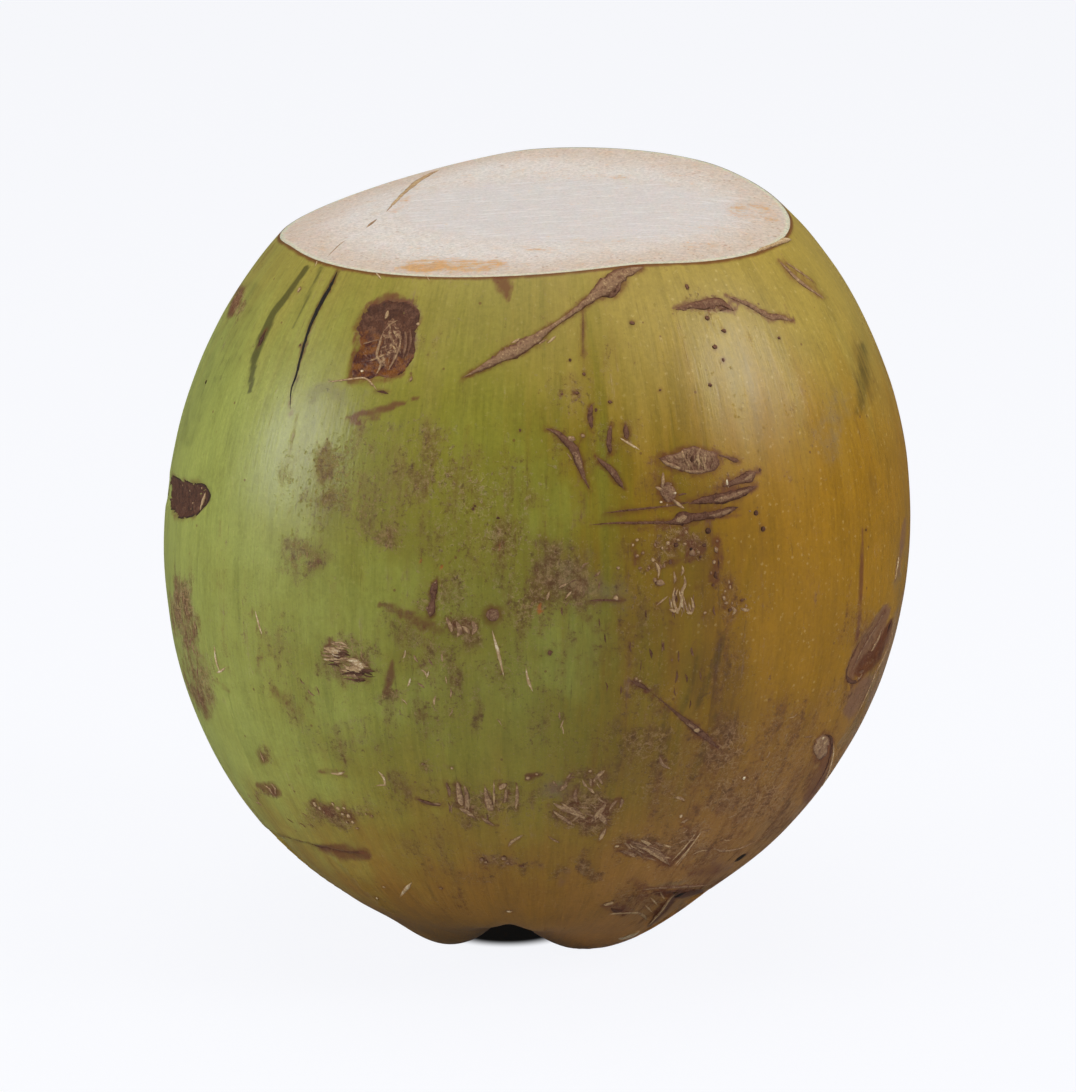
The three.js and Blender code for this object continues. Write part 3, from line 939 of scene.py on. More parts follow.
def cutMaterial():
    sheet = Sheet("creamCut")
    look = {name: tint(*cutFace[name]) for name in
            ("cream", "coreWhite", "streakWhite", "tan", "fibre", "stainColour", "border")}
    at = objectPoint(sheet)
    gap, core, stain = (sheet.attribute(name) for name in ("gap", "core", "stain"))
    soft = sheet.noise(at, 14, 3)
    mottled = sheet.noise(at, 3.5, 4, 0.65)
    grain = sheet.noise(at, 0.75, 3, 0.7)
    x, y, z = sheet.split(at)
    brushed = sheet.noise(sheet.join(x * 0.14 + y * 0.02, y, z), 1.1, 4, 0.65)  # long strokes of the knife
    ring = (gap + (soft - 0.5) * 10).smooth(18, 3)
    core = (core + (brushed - 0.5) * 2.0 + (mottled - 0.5) * 0.9).smooth(0.2, 1.05)

    colour = sheet.mix((ring * 0.7 + (mottled - 0.5) * 1.4 + 0.1).clamp(), look["cream"], look["tan"])
    colour = sheet.mix(core * 0.8, colour, look["coreWhite"])
    belt = core * (1 - core) * 4 * (mottled + brushed - 0.6).smooth(0.2, 0.8)
    colour = sheet.mix(belt * 0.55, colour, look["tan"])
    pores = sheet.cells(at, 1.3).smooth(0.3, 0.1) * grain.smooth(0.4, 0.6)
    colour = sheet.mix(pores * (1 - core * 0.85) * (ring * 0.5 + 0.55), colour, look["fibre"])
    threads = sheet.cells(at, 4.5).smooth(0.13, 0.06) * (1 - core)
    colour = sheet.mix(threads * mottled * 0.9, colour, look["fibre"])
    strokes = brushed.smooth(0.53, 0.66)
    colour = sheet.mix(strokes * (core * 0.6 + 0.08), colour, look["streakWhite"])
    colour = sheet.mix(brushed.smooth(0.42, 0.3) * core * 0.3, colour, look["tan"])
    blotch = (stain * 0.9 + (mottled - 0.5) * 2.2 + (brushed - 0.5) * 2 + (grain - 0.5) * 1.8).smooth(0.35, 1.3)
    colour = sheet.mix(blotch * 0.85, colour, look["stainColour"])
    colour = sheet.mix((gap + (grain - 0.5) * 0.8).smooth(1.5, 0.5) * 0.7, colour, look["border"])
    shade = 1 + (grain - 0.5) * (1.0 - core * 0.5) + (mottled - 0.5) * 0.16
    colour = sheet.mix(1, colour, sheet.join(shade, shade, shade), "MULTIPLY")
    rough = cutFace["roughness"] - core * 0.14 + (mottled - 0.5) * 0.2
    height = grain * 0.22 + brushed * 0.1 * core - pores * 0.15 - threads * 0.2
    return sheet.finish(colour, rough, height, 0.5, Subsurface_Weight=0.15, Subsurface_Scale=0.004)


def makeCutFace():
    bm = bmesh.new()
    verts, shares = gridShares(bm, cutFace["columns"], cutFace["topRows"] + 8)
    places, gaps = cutPlaces(shares)
    moveTo(verts, places)
    u, v = framed(places)
    addAttribute(bm, "core", 1 - smooth(0.7, 1.3, ovalField(u, v, *cutFace["core"])))
    stained = np.zeros(len(u))
    for *oval, strength in cutStains:
        stained = np.maximum(stained, strength * (1 - smooth(0.4, 1.5, ovalField(u, v, *oval))))
    addAttribute(bm, "stain", stained)
    addAttribute(bm, "gap", gaps)
    closeUp(bm)
    return bm


cutMesh = makeCutFace()


# a mark's tone runs from 0, black, through 0.3, bark brown, and 0.6, cork, to 1, cream
crack = 0.03
bark = 0.3
cork = 0.52
scratch = 0.82
# tone, lift, and a path in the frame: across, down and half width in millimetres
marks = [
    (0.76, 0.45, [(756, 252, .15), (763, 249, .5), (771, 246, .5), (779, 243, .55), (786, 240, .6),
                  (792, 240, .3)]),
    (crack, 0.03, [(338, 270, .3), (330, 287, .5), (320, 305, .6), (309, 329, .4), (300, 360, .35),
                   (296, 376, .3), (291, 391, .2), (290, 414, .1)]),
    (0.16, 0.02, [(266, 330, .1), (263, 336, .5), (261, 341, .8), (258, 347, .1)]),
    (cork, 0.3, [(462, 378, .15), (480, 369, .6), (500, 358, 1.2), (516, 350, 1.6), (535, 339, 1.2),
                 (552, 327, .5), (572, 313, .5), (593, 297, 1.0), (606, 287, 2.0), (619, 276, 1.6),
                 (637, 269, 1.2), (643, 267, .3)]),
    (0.38, 0.15, [(675, 310, .3), (690, 306, .6), (703, 305, 1.1), (719, 302, 1.0), (734, 311, .3)]),
    (0.46, 0.12, [(727, 296, .3), (747, 304, .5), (768, 316, .8), (780, 317, .6), (793, 321, .3)]),
    (0.56, 0.1, [(779, 261, .3), (788, 270, .5), (797, 279, .7), (810, 289, .5), (825, 299, .2)]),
    (cork, 0.15, [(785, 262, .2), (800, 272, .35), (815, 283, .2)]),
    (0.34, 0.2, [(545, 428, .2), (557, 433, .5), (566, 441, .8), (574, 450, .9), (580, 466, .7),
                 (584, 478, .3), (590, 490, .2)]),
    (0.5, 0.3, [(571, 448, .2), (576, 456, .6), (580, 465, .55), (582, 471, .2)]),
    (0.34, 0.2, [(596, 457, .2), (604, 464, .5), (612, 471, .7), (618, 480, .6), (624, 489, .2)]),
    (0.52, 0.3, [(608, 467, .2), (613, 474, .4), (618, 481, .2)]),
    (bark, 0.15, [(611, 425, .3), (609, 438, .5), (610, 454, .4)]),
    (bark, 0.12, [(625, 424, .2), (626, 431, .6), (627, 440, .3)]),
    (scratch, 0.08, [(620, 438, .1), (630, 444, .25), (640, 450, .1)]),
    (bark, 0.1, [(592, 404, .2), (590, 416, .6), (592, 429, .3)]),
    (0.27, 0.12, [(688, 504, .2), (705, 500, .8), (722, 498, 1.2), (738, 494, 1.0), (750, 489, .6),
                  (757, 486, .2)]),
    (0.5, 0.25, [(710, 500, .2), (722, 499, .7), (735, 495, .6), (752, 488, .3)]),
    (0.6, 0.2, [(694, 501, .1), (697, 499, .3), (700, 498, .1)]),
    (0.34, 0.12, [(722, 487, .2), (732, 483, .6), (742, 479, .9), (750, 476, 1.3), (756, 472, .5)]),
    (0.52, 0.25, [(742, 481, .2), (748, 478, .5), (753, 474, .4)]),
    (0.95, 0.25, [(727, 479, .1), (727, 484, .35), (729, 488, .1)]),
    (0.28, 0.12, [(654, 523, .1), (672, 522, .5), (681, 519, 1.4), (690, 518, 1.0), (706, 516, .8),
                  (722, 513, .9), (733, 509, .6), (739, 507, .2)]),
    (0.56, 0.3, [(675, 521, .3), (681, 519, .8), (688, 516, .3)]),
    (0.5, 0.25, [(704, 517, .2), (716, 515, .35), (725, 512, .5), (733, 509, .2)]),
    (0.58, 0.3, [(663, 472, .2), (663, 480, .35), (662, 489, .4)]),
    (0.56, 0.25, [(655, 487, .15), (660, 489, .4), (664, 492, .3)]),
    (0.64, 0.2, [(672, 499, .3), (678, 504, .35), (685, 509, .15)]),
    (0.56, 0.3, [(682, 450, .2), (684, 458, .35), (688, 464, .35), (690, 471, .2)]),
    (0.54, 0.3, [(691, 449, .2), (687, 457, .3), (691, 465, .35), (694, 472, .2)]),
    (0.6, 0.3, [(701, 447, .2), (697, 456, .4), (699, 464, .4), (697, 471, .2)]),
    (0.56, 0.3, [(706, 453, .2), (702, 460, .35), (705, 467, .4), (704, 472, .2)]),
    (0.5, 0.3, [(711, 454, .2), (713, 462, .3), (710, 469, .2)]),
    (0.6, 0.3, [(661, 460, .2), (670, 465, .5), (681, 469, .3)]),
    (0.58, 0.3, [(683, 470, .2), (694, 472, .4), (705, 471, .3)]),
    (0.24, 0.15, [(694, 454, .1), (692, 460, .5), (694, 464, .1)]),
    (0.36, 0.1, [(718, 455, .4), (726, 457, .2), (734, 460, .5), (739, 461, .3)]),
    (0.7, 0.15, [(264, 785, .2), (270, 789, .4), (272, 795, .2)]),
    (0.62, 0.12, [(270, 783, .2), (275, 788, .35), (275, 795, .2)]),
    (0.62, 0.12, [(260, 751, .15), (263, 759, .4), (265, 763, .15)]),
    (0.76, 0.12, [(330, 773, .15), (338, 774, .35), (345, 772, .15)]),
    (0.76, 0.1, [(376, 786, .1), (382, 785, .25), (388, 785, .1)]),
    (bark, 0.06, [(590, 525, .1), (615, 523, .2), (640, 523, .3), (668, 522, .3)]),
    (bark, 0.05, [(604, 513, .1), (640, 509, .25), (668, 506, .15), (690, 502, .3)]),
    (0.34, 0.15, [(437, 579, .3), (434, 589, .8), (433, 600, .5), (431, 611, .9), (430, 617, .3)]),
    (bark, 0.06, [(630, 680, .1), (640, 685, .5), (650, 691, .2)]),
    (bark, 0.06, [(652, 693, .1), (668, 706, .2), (681, 717, .45), (697, 730, .75), (709, 740, .5),
                  (720, 750, .1)]),
    (0.56, 0.15, [(683, 721, .1), (691, 726, .35), (697, 730, .2)]),
    (scratch, 0.12, [(214, 645, .15), (216, 660, .4), (220, 673, .15)]),
    (scratch, 0.1, [(216, 673, .1), (221, 671, .3), (226, 667, .1)]),
    (scratch, 0.1, [(255, 610, .1), (258, 622, .3), (262, 635, .1)]),
    (scratch, 0.1, [(492, 630, .1), (498, 652, .35), (504, 677, .1)]),
    (scratch, 0.1, [(526, 668, .1), (528, 680, .3), (533, 692, .1)]),
    (scratch, 0.1, [(378, 771, .1), (384, 778, .35), (385, 786, .1)]),
    (bark, 0.1, [(417, 799, .2), (428, 803, .5), (441, 806, .2)]),
    (0.76, 0.12, [(671, 862, .1), (684, 848, .25), (696, 833, .12)]),
    (0.76, 0.12, [(674, 866, .1), (688, 850, .25), (702, 831, .15)]),
    (0.7, 0.1, [(676, 867, .1), (683, 858, .2), (690, 849, .1)]),
    (0.3, 0.03, [(674, 862, .1), (686, 849, .15), (698, 834, .1)]),
    (0.72, 0.12, [(692, 855, .1), (700, 851, .3), (708, 850, .15)]),
    (0.6, 0.12, [(712, 848, .1), (722, 851, .3), (734, 850, .25), (746, 846, .3), (758, 840, .1)]),
    (scratch, 0.3, [(899, 556, .1), (897, 566, .5), (895, 580, .3)]),
    (0.2, 0.08, [(824, 734, .2), (831, 738, .4), (831, 752, .45), (827, 766, .4), (820, 780, .35),
                 (808, 799, .1)]),
    (0.78, 0.3, [(834, 744, .15), (832, 760, .35), (825, 780, .35), (812, 802, .35), (796, 822, .15)]),
    # dry strips low on the front
    (0.6, 0.12, [(457, 781, .2), (459, 790, .6), (461, 801, .8), (462, 806, .2)]),
    (0.58, 0.12, [(464, 785, .2), (467, 794, .5), (467, 804, .5), (465, 809, .1)]),
    (0.6, 0.1, [(459, 808, .2), (467, 812, .6), (475, 818, .2)]),
    (0.5, 0.08, [(481, 817, .2), (488, 822, .5), (495, 826, .2)]),
    (0.6, 0.12, [(485, 786, .2), (487, 797, .6), (490, 807, 1.0), (493, 811, .3)]),
    (0.66, 0.1, [(494, 780, .1), (494, 795, .25), (494, 808, .1)]),
    (0.6, 0.1, [(499, 790, .3), (503, 786, .7), (507, 783, .4)]),
    (0.56, 0.08, [(506, 788, .2), (506, 796, .35), (504, 804, .15)]),
    (0.66, 0.1, [(517, 784, .15), (517, 798, .4), (516, 809, .15)]),
    (0.5, 0.06, [(446, 782, .15), (449, 790, .4), (450, 797, .15)]),
    (0.6, 0.06, [(424, 801, .2), (432, 804, .4), (442, 804, .3)]),
    (0.62, 0.12, [(553, 803, .3), (562, 808, .6), (575, 813, .6), (586, 819, .4)]),
    (0.6, 0.12, [(553, 811, .2), (563, 818, .5), (573, 825, .3)]),
    (0.64, 0.12, [(561, 803, .2), (572, 810, .45), (583, 814, .3)]),
    (0.6, 0.1, [(572, 822, .3), (577, 817, .4), (582, 812, .2)]),
    (0.6, 0.12, [(591, 822, .3), (598, 814, .7), (604, 806, .4), (606, 802, .2)]),
    (0.6, 0.12, [(598, 812, .4), (603, 819, .7), (607, 825, .2)]),
    (0.6, 0.08, [(609, 811, .15), (613, 804, .4), (618, 800, .2)]),
    (0.56, 0.08, [(620, 809, .15), (622, 801, .4), (621, 797, .1)]),
    (0.68, 0.08, [(599, 841, .3), (603, 834, .5), (606, 828, .15)]),
    (0.6, 0.08, [(560, 791, .2), (564, 787, .5), (568, 783, .2)]),
    (0.5, 0.08, [(576, 788, .2), (575, 797, .4), (577, 803, .1)]),
    (0.6, 0.08, [(566, 779, .15), (570, 775, .3), (573, 772, .1)]),
    (0.66, 0.08, [(582, 779, .2), (585, 785, .3), (588, 788, .1)]),
    (0.66, 0.08, [(587, 787, .15), (591, 790, .35), (595, 794, .15)]),
    (0.64, 0.1, [(593, 782, .2), (599, 775, .5), (605, 770, .3)]),
    (0.64, 0.08, [(596, 775, .2), (600, 780, .35), (603, 785, .15)]),
    (0.56, 0.08, [(659, 756, .3), (663, 765, .35), (671, 769, .2)]),
    (0.62, 0.08, [(674, 797, .2), (680, 798, .4), (685, 801, .2)]),
    (0.48, 0.15, [(629, 840, .2), (642, 846, .6), (655, 852, .8), (664, 858, .6), (670, 866, .2)]),
    (0.6, 0.2, [(635, 841, .1), (646, 848, .35), (657, 852, .3), (668, 862, .1)]),
    (0.66, 0.2, [(634, 845, .2), (648, 850, .5), (662, 859, .5), (667, 864, .2)]),
    (0.72, 0.15, [(640, 839, .2), (646, 843, .4), (650, 846, .1)]),
    (0.5, 0.1, [(619, 851, .2), (628, 853, .5), (637, 855, .3)]),
    (0.62, 0.06, [(508, 847, .2), (513, 841, .4), (523, 835, .25)]),
    (0.56, 0.06, [(548, 836, .15), (554, 840, .3), (560, 843, .15)]),
    # the torn corner at the lower right
    (0.74, 0.25, [(603, 905, .3), (608, 904, .9), (614, 901, .3)]),
    (0.25, 0.06, [(611, 908, .2), (617, 911, .8), (623, 911, .2)]),
    (0.7, 0.2, [(608, 914, .3), (622, 913, .4), (638, 913, .4), (645, 917, .5), (647, 921, .2)]),
    # painted shade: this brown line and the black spot after it darken the hollow under the ledge
    (0.3, 0.02, [(660, 892, .1), (678, 891, .4), (700, 890, .1)]),
    (crack, 0.04, [(674, 897, .2), (680, 895, .8), (687, 892, .2)]),
    (0.5, 0.3, [(640, 890, .15), (656, 888, .3), (676, 887, .4), (696, 886, .35), (712, 884, .15)]),
    (0.72, 0.4, [(678, 891, .3), (669, 899, .6), (660, 912, .6), (647, 927, .3)]),
    (0.74, 0.15, [(650, 897, .1), (654, 901, .3), (658, 906, .1)]),
    (0.74, 0.15, [(645, 905, .1), (649, 909, .3), (653, 913, .1)]),
    (0.74, 0.15, [(660, 892, .1), (663, 897, .25), (666, 901, .1)]),
    (0.98, 0.3, [(618, 939, .4), (629, 936, 1.4), (640, 931, .5)]),
    (crack, 0.06, [(734, 862, .3), (740, 858, 1.6), (746, 855, .5)]),
    # the scabs over the belly
    (0.66, 0.1, [(655, 562, .2), (659, 569, .3), (658, 579, .15)]),
    (0.68, 0.08, [(682, 565, .2), (683, 571, .3), (681, 576, .1)]),
    (0.66, 0.08, [(674, 571, .15), (675, 580, .3), (674, 584, .1)]),
    (0.66, 0.1, [(684, 575, .15), (685, 584, .3), (682, 592, .35), (683, 600, .15)]),
    (0.7, 0.1, [(675, 587, .1), (673, 597, .25), (675, 606, .3), (677, 614, .2)]),
    (0.7, 0.1, [(679, 590, .1), (681, 602, .25), (678, 612, .3)]),
    (0.68, 0.1, [(669, 609, .2), (674, 611, .4), (680, 608, .2)]),
    (0.68, 0.1, [(685, 600, .1), (686, 607, .25), (690, 614, .3)]),
    (0.7, 0.1, [(691, 597, .15), (693, 605, .3), (691, 613, .35), (686, 612, .2)]),
    (0.72, 0.06, [(656, 606, .1), (663, 600, .25), (668, 596, .1)]),
    (0.72, 0.08, [(691, 590, .2), (695, 588, .4), (699, 586, .15)]),
    (0.3, 0.05, [(675, 589, .1), (676, 597, .3), (677, 603, .1)]),
    (0.66, 0.08, [(731, 606, .2), (735, 611, .45), (732, 615, .2)]),
    (0.66, 0.06, [(740, 608, .15), (745, 610, .35), (750, 610, .15)]),
    (0.6, 0.08, [(446, 617, .2), (450, 625, .5), (452, 633, .3)]),
    (0.6, 0.1, [(456, 621, .3), (460, 630, .6), (457, 637, .2)]),
    (0.62, 0.1, [(462, 626, .2), (467, 630, .5), (470, 634, .2)]),
    (0.6, 0.1, [(472, 621, .3), (475, 628, .6), (472, 635, .2)]),
    (scratch, 0.12, [(400, 897, .1), (406, 889, .5), (412, 882, .1)]),
    (bark, 0.04, [(276, 834, .1), (300, 841, .25), (327, 848, .3), (350, 852, .25), (367, 851, .1)]),
    (0.72, 0.02, [(441, 169, .2), (430, 174, .9), (418, 181, 1.0), (411, 187, .8), (404, 193, .6),
                  (395, 202, .5), (386, 212, .2)]),
    (0.62, 0.14, [(377, 219, .1), (372, 223, .4), (366, 228, .1)]),
    (0.66, 0.12, [(346, 240, .05), (338, 246, .15), (327, 257, .05)]),
    (0.8, 0.35, [(315, 258, .1), (317, 262, .15), (314, 268, .05)]),
    (0.8, 0.35, [(375, 272, .1), (379, 276, .15), (382, 280, .05)]),
    (0.8, 0.3, [(424, 274, .1), (428, 278, .12), (430, 281, .05)]),
    # the high knot's net and ridges
    (0.64, 0.3, [(383, 332, .1), (380, 342, .3), (377, 356, .35), (381, 364, .35), (376, 375, .15)]),
    (0.58, 0.25, [(400, 332, .1), (400, 345, .25), (397, 354, .3), (392, 364, .25), (388, 371, .1)]),
    (0.5, 0.2, [(363, 344, .1), (370, 342, .25), (380, 339, .15)]),
    (0.6, 0.2, [(369, 361, .1), (377, 358, .3), (386, 354, .2)]),
    (0.54, 0.2, [(384, 331, .1), (391, 324, .25), (398, 320, .1)]),
    (0.66, 0.3, [(388, 310, .2), (387, 315, .5), (385, 320, .2)]),
    (0.64, 0.35, [(371, 322, .2), (375, 324, .45), (379, 325, .2)]),
    (0.4, 0.25, [(405, 330, .2), (406, 344, .4), (403, 360, .2)]),
    (0.36, 0.25, [(410, 328, .2), (411, 342, .4), (407, 358, .2)]),
    (0.74, 0.35, [(206, 492, .2), (205, 497, .5), (203, 503, .55), (200, 511, .2)]),
    # the gouge's folds
    (0.58, 0.2, [(882, 628, .1), (877, 641, .4), (870, 653, .15)]),
    (0.46, 0.15, [(885, 610, .3), (877, 625, .5), (868, 640, .6), (859, 656, .5), (852, 672, .3)]),
    (0.66, 0.3, [(896, 617, .1), (890, 640, .4), (884, 656, .4), (876, 672, .35), (864, 700, .3),
                 (852, 724, .1)]),
    (0.14, 0.05, [(892, 620, .1), (889, 627, .5), (886, 636, .2)]),
    (0.24, 0.1, [(860, 641, .1), (853, 655, .3), (847, 669, .45), (848, 680, .6), (856, 682, .4),
                 (863, 676, .1)]),
    (bark, 0.03, [(583, 308, .05), (583, 330, .12), (583, 356, .05)]),
    (0.68, 0.2, [(327, 382, .1), (344, 380, .2), (364, 378, .2), (372, 384, .2), (377, 390, .1)]),
    (0.22, 0.04, [(376, 391, .1), (383, 392, .3), (389, 394, .1)]),
    (bark, 0.05, [(588, 601, .1), (605, 600, .25), (622, 601, .1)]),
]
# across and down in the frame, half width in millimetres, tone
specks = [
    (418, 324, .5, .75), (362, 371, .4, .9), (190, 491, .3, .7), (193, 503, .3, .7), (202, 488, .35, .7),
    (183, 485, .3, .7), (191, 509, .25, .6), (661, 502, .3, .9), (697, 501, .3, .85), (632, 323, .55, bark),
    (584, 374, .4, bark), (577, 393, .45, bark), (570, 360, .35, bark), (562, 394, .3, bark),
    (707, 318, .6, bark), (724, 331, .55, bark), (715, 347, .6, bark), (723, 360, .4, bark),
    (710, 385, .5, bark), (779, 338, .45, bark), (687, 287, .6, bark), (315, 804, .7, .8), (320, 808, .6, .72),
    (324, 812, .45, .64), (333, 804, .5, .7), (338, 808, .6, .76), (344, 808, .45, .7), (343, 814, .5, .7),
    (349, 816, .6, .76), (353, 822, .5, .76), (357, 828, .4, .64), (366, 814, .35, .62), (372, 816, .35, .62),
    (347, 822, .4, .66), (675, 493, .35, .85), (667, 505, .3, .6), (249, 796, .3, .7), (756, 513, .65, .2),
    (750, 511, .3, .75), (763, 529, .65, .2), (708, 531, .75, .18), (866, 530, .35, bark), (206, 382, .5, .12),
    (411, 379, .45, .62), (823, 738, .45, .95), (299, 290, .6, .7), (571, 439, .8, .64), (583, 436, .5, .6),
    (473, 509, .35, .24), (475, 506, .25, .24), (498, 518, .35, .24), (550, 653, .6, .32), (435, 583, .35, .7),
    (433, 598, .3, .62), (430, 613, .4, .66), (427, 608, .3, .6), (423, 764, .4, cork), (744, 778, .5, 1),
    (697, 730, .75, .7), (636, 679, .4, .68), (640, 681, .35, .62), (681, 816, .5, .8), (684, 822, .35, .68),
    (509, 911, .9, .8), (528, 778, .55, .66), (537, 774, .4, .66), (482, 859, .7, .5), (486, 862, .5, .6),
    (504, 858, .8, .56), (508, 863, .5, .5), (522, 866, .5, .48), (441, 888, .5, .6), (452, 768, .35, .7),
    (617, 846, .5, .75), (590, 771, .4, .7), (684, 828, .3, .6), (686, 532, .4, .66), (684, 528, .3, .6),
    (678, 540, .4, .62), (668, 543, .5, .7), (655, 545, .35, .62), (662, 548, .4, .62), (685, 544, .4, .66),
    (692, 553, .8, .6), (698, 552, .35, .6), (716, 550, .65, .6), (714, 562, .5, .62), (717, 541, .35, .6),
    (637, 540, .35, .72), (633, 545, .3, .72), (637, 556, .4, .62), (643, 553, .35, .6), (653, 560, .5, .78),
    (640, 568, .4, .58), (649, 568, .35, .58), (664, 566, .4, .62), (660, 583, .9, .56), (655, 580, .5, .56),
    (616, 598, .6, .72), (618, 568, .4, .7), (729, 582, .35, .7), (730, 587, .35, .7), (725, 591, .3, .66),
    (724, 598, .5, .7), (726, 603, .45, .66), (732, 603, .3, .62), (746, 606, .35, .66), (705, 613, .4, .66),
    (711, 573, .35, .5), (691, 549, .4, .12), (670, 562, .5, .3), (676, 545, .6, .2), (704, 545, .5, .25),
    (700, 557, .4, .25), (713, 585, .4, .25), (384, 887, .4, .8), (377, 898, .4, .8), (300, 345, .3, bark),
    (520, 430, .3, bark), (660, 390, .3, bark), (610, 402, .45, bark), (596, 410, .4, bark),
    (672, 660, .3, cork), (760, 470, .4, bark), (742, 600, .4, bark), (730, 610, .5, bark),
]
barkLook = {
    "around": 8,
    "stepPixels": 3.0,
    "sunk": 0.45,
    "flakeLift": 0.14,
    "black": (28, 21, 13),
    "dark": (84, 47, 27),
    "brown": (116, 77, 54),
    "cork": (148, 114, 82),
    "pale": (188, 156, 112),
    "cream": (228, 214, 182),
    "amber": (130, 76, 14),
    "resin": (78, 34, 22),
    "roughness": 0.7,
}


def skinAt(u, v, turn=0):
    # the point of the skin seen at a place in the frame, and its outward direction
    place, toward = sightLine(u, v, turn)
    return ground["tree"].ray_cast(place, toward)[:2]


def treeOver(*meshes):
    # one search tree over several meshes
    corners, faces = [], []
    for bm in meshes:
        bm.verts.index_update()
        faces += [[v.index + len(corners) for v in face.verts] for face in bm.faces]
        corners += [v.co.copy() for v in bm.verts]
    return BVHTree.FromPolygons(corners, faces)


def smoothPath(points, step):
    # a curve through the points, with a point about every step along it
    p = np.array(points, float)
    p = np.concatenate([[2 * p[0] - p[1]], p, [2 * p[-1] - p[-2]]])
    made = []
    for i in range(1, len(p) - 2):
        pieces = max(1, round(np.hypot(*(p[i + 1] - p[i])[:2]) / step))
        for share in np.arange(pieces) / pieces:
            a, b, c, d = p[i - 1:i + 3]
            made.append(0.5 * (2 * b + (c - a) * share + (2 * a - 5 * b + 4 * c - d) * share ** 2
                               + (3 * b - a - 3 * c + d) * share ** 3))
    return np.array(made + [p[-2]])


def trailOf(path, turn=0):
    # a path's points on the skin, their outward directions and half widths
    trail = []
    for u, v, half in smoothPath(path, barkLook["stepPixels"]).tolist():
        point, outward = skinAt(u, v, turn)
        if point is not None:
            trail.append((point, outward, max(half, 0.03)))
    return trail


def addRibbon(bm, layers, trail, lift, tone, draw):
    # a thin closed scab along a trail, pointed at both ends, its edges in the skin
    if len(trail) < 4:
        return
    points, outward, half = (np.array([part[i] for part in trail]) for i in range(3))
    along = np.gradient(points, axis=0)
    along /= np.linalg.norm(along, axis=1)[:, None] + 1e-9
    across = np.cross(outward, along)
    verts, shares = gridShares(bm, len(trail) - 1, barkLook["around"])
    order = np.rint(shares[:, 0] * (len(trail) - 1)).astype(int)
    turn = shares[:, 1] * 2 * math.pi
    ends = np.minimum(shares[:, 0], 1 - shares[:, 0]) * 2
    taper = np.where(ends < 1e-6, 0, np.sqrt(np.minimum(1, ends * 4)))
    phase = draw.uniform(0, 100)
    for v, i, angle, thin in zip(verts, order.tolist(), turn.tolist(), taper.tolist()):
        rag = noise.noise(Vector((i * 0.9, 4 * math.cos(angle), phase)))
        wide = half[i] * thin * (1 + 0.45 * rag)
        side = Vector(points[i] + across[i] * wide * math.cos(angle))
        near, normal = ground["tree"].find_nearest(side)[:2]
        crust = 1 + 0.7 * noise.noise(Vector((i * 0.6, 2 * math.cos(angle), phase + 7)))
        high = lift * crust * min(1, half[i] * 1.6) * thin
        sunk = math.sin(angle) * barkLook["sunk"] * thin
        rise = high * max(0, math.sin(angle)) ** 0.6 if angle < math.pi else sunk
        v.co = near + normal * rise
        v[layers["tone"]] = tone
        v[layers["edge"]] = abs(math.cos(angle))


def addCrumb(bm, layers, point, outward, half, tone, draw):
    # a small lump, wider than it is high
    ball = bmesh.ops.create_icosphere(bm, subdivisions=2, radius=1)["verts"]
    turn = outward.to_track_quat("Z", "Y")
    phase = draw.uniform(0, 100)
    stretch = draw.uniform(0.8, 1.25) if tone > 0.2 else 1
    for v in ball:
        rag = 0.9 + (0.5 if tone > 0.2 else 0.15) * noise.noise(v.co * 1.4 + Vector((phase, 0, 0)))
        v[layers["edge"]] = min(1, math.hypot(v.co.x, v.co.y))
        v[layers["tone"]] = tone
        place = Vector((v.co.x * half * stretch, v.co.y * half / stretch, v.co.z * half * 0.35))
        v.co = point + turn @ place * rag


# scabs with an outline of their own: tone, lift, outline and kind, where resin turns amber and glossy
# towards its foot, net is crossed by fine ridges, and bark is plain
patches = [
    (0.2, 0.25, knotOutlines["highKnot"], "resin"),
    (0.53, 0.3, [(394, 317), (402, 322), (403, 334), (401, 348), (398, 361), (389, 370), (381, 368), (377, 361),
                (378, 349), (381, 336), (384, 326), (388, 319)], "net"),
    (0.18, 0.15, knotOutlines["edgeKnot"], "bark"),
    (0.45, 0.3, [(656, 460), (664, 457), (674, 455), (679, 451), (688, 448), (700, 448), (708, 451), (718, 454),
                 (720, 460), (719, 466), (716, 470), (706, 472), (695, 473), (686, 471), (675, 468),
                 (666, 464)], "bark"),
    (0.48, 0.25, [(661, 487), (667, 484), (672, 486), (676, 492), (675, 498), (671, 502), (666, 502),
                 (662, 497)], "bark"),
    (0.42, 0.1, [(487, 612), (490, 609), (498, 610), (498, 619), (491, 621), (487, 618)], "bark"),
    (0.55, 0.25, [(814, 746), (818, 738), (825, 734), (829, 739), (827, 748), (824, 757), (818, 761),
                  (815, 755)], "bark"),
    (0.36, 0.3, [(600, 293), (606, 282), (614, 278), (622, 284), (618, 292), (608, 298)], "bark"),
]
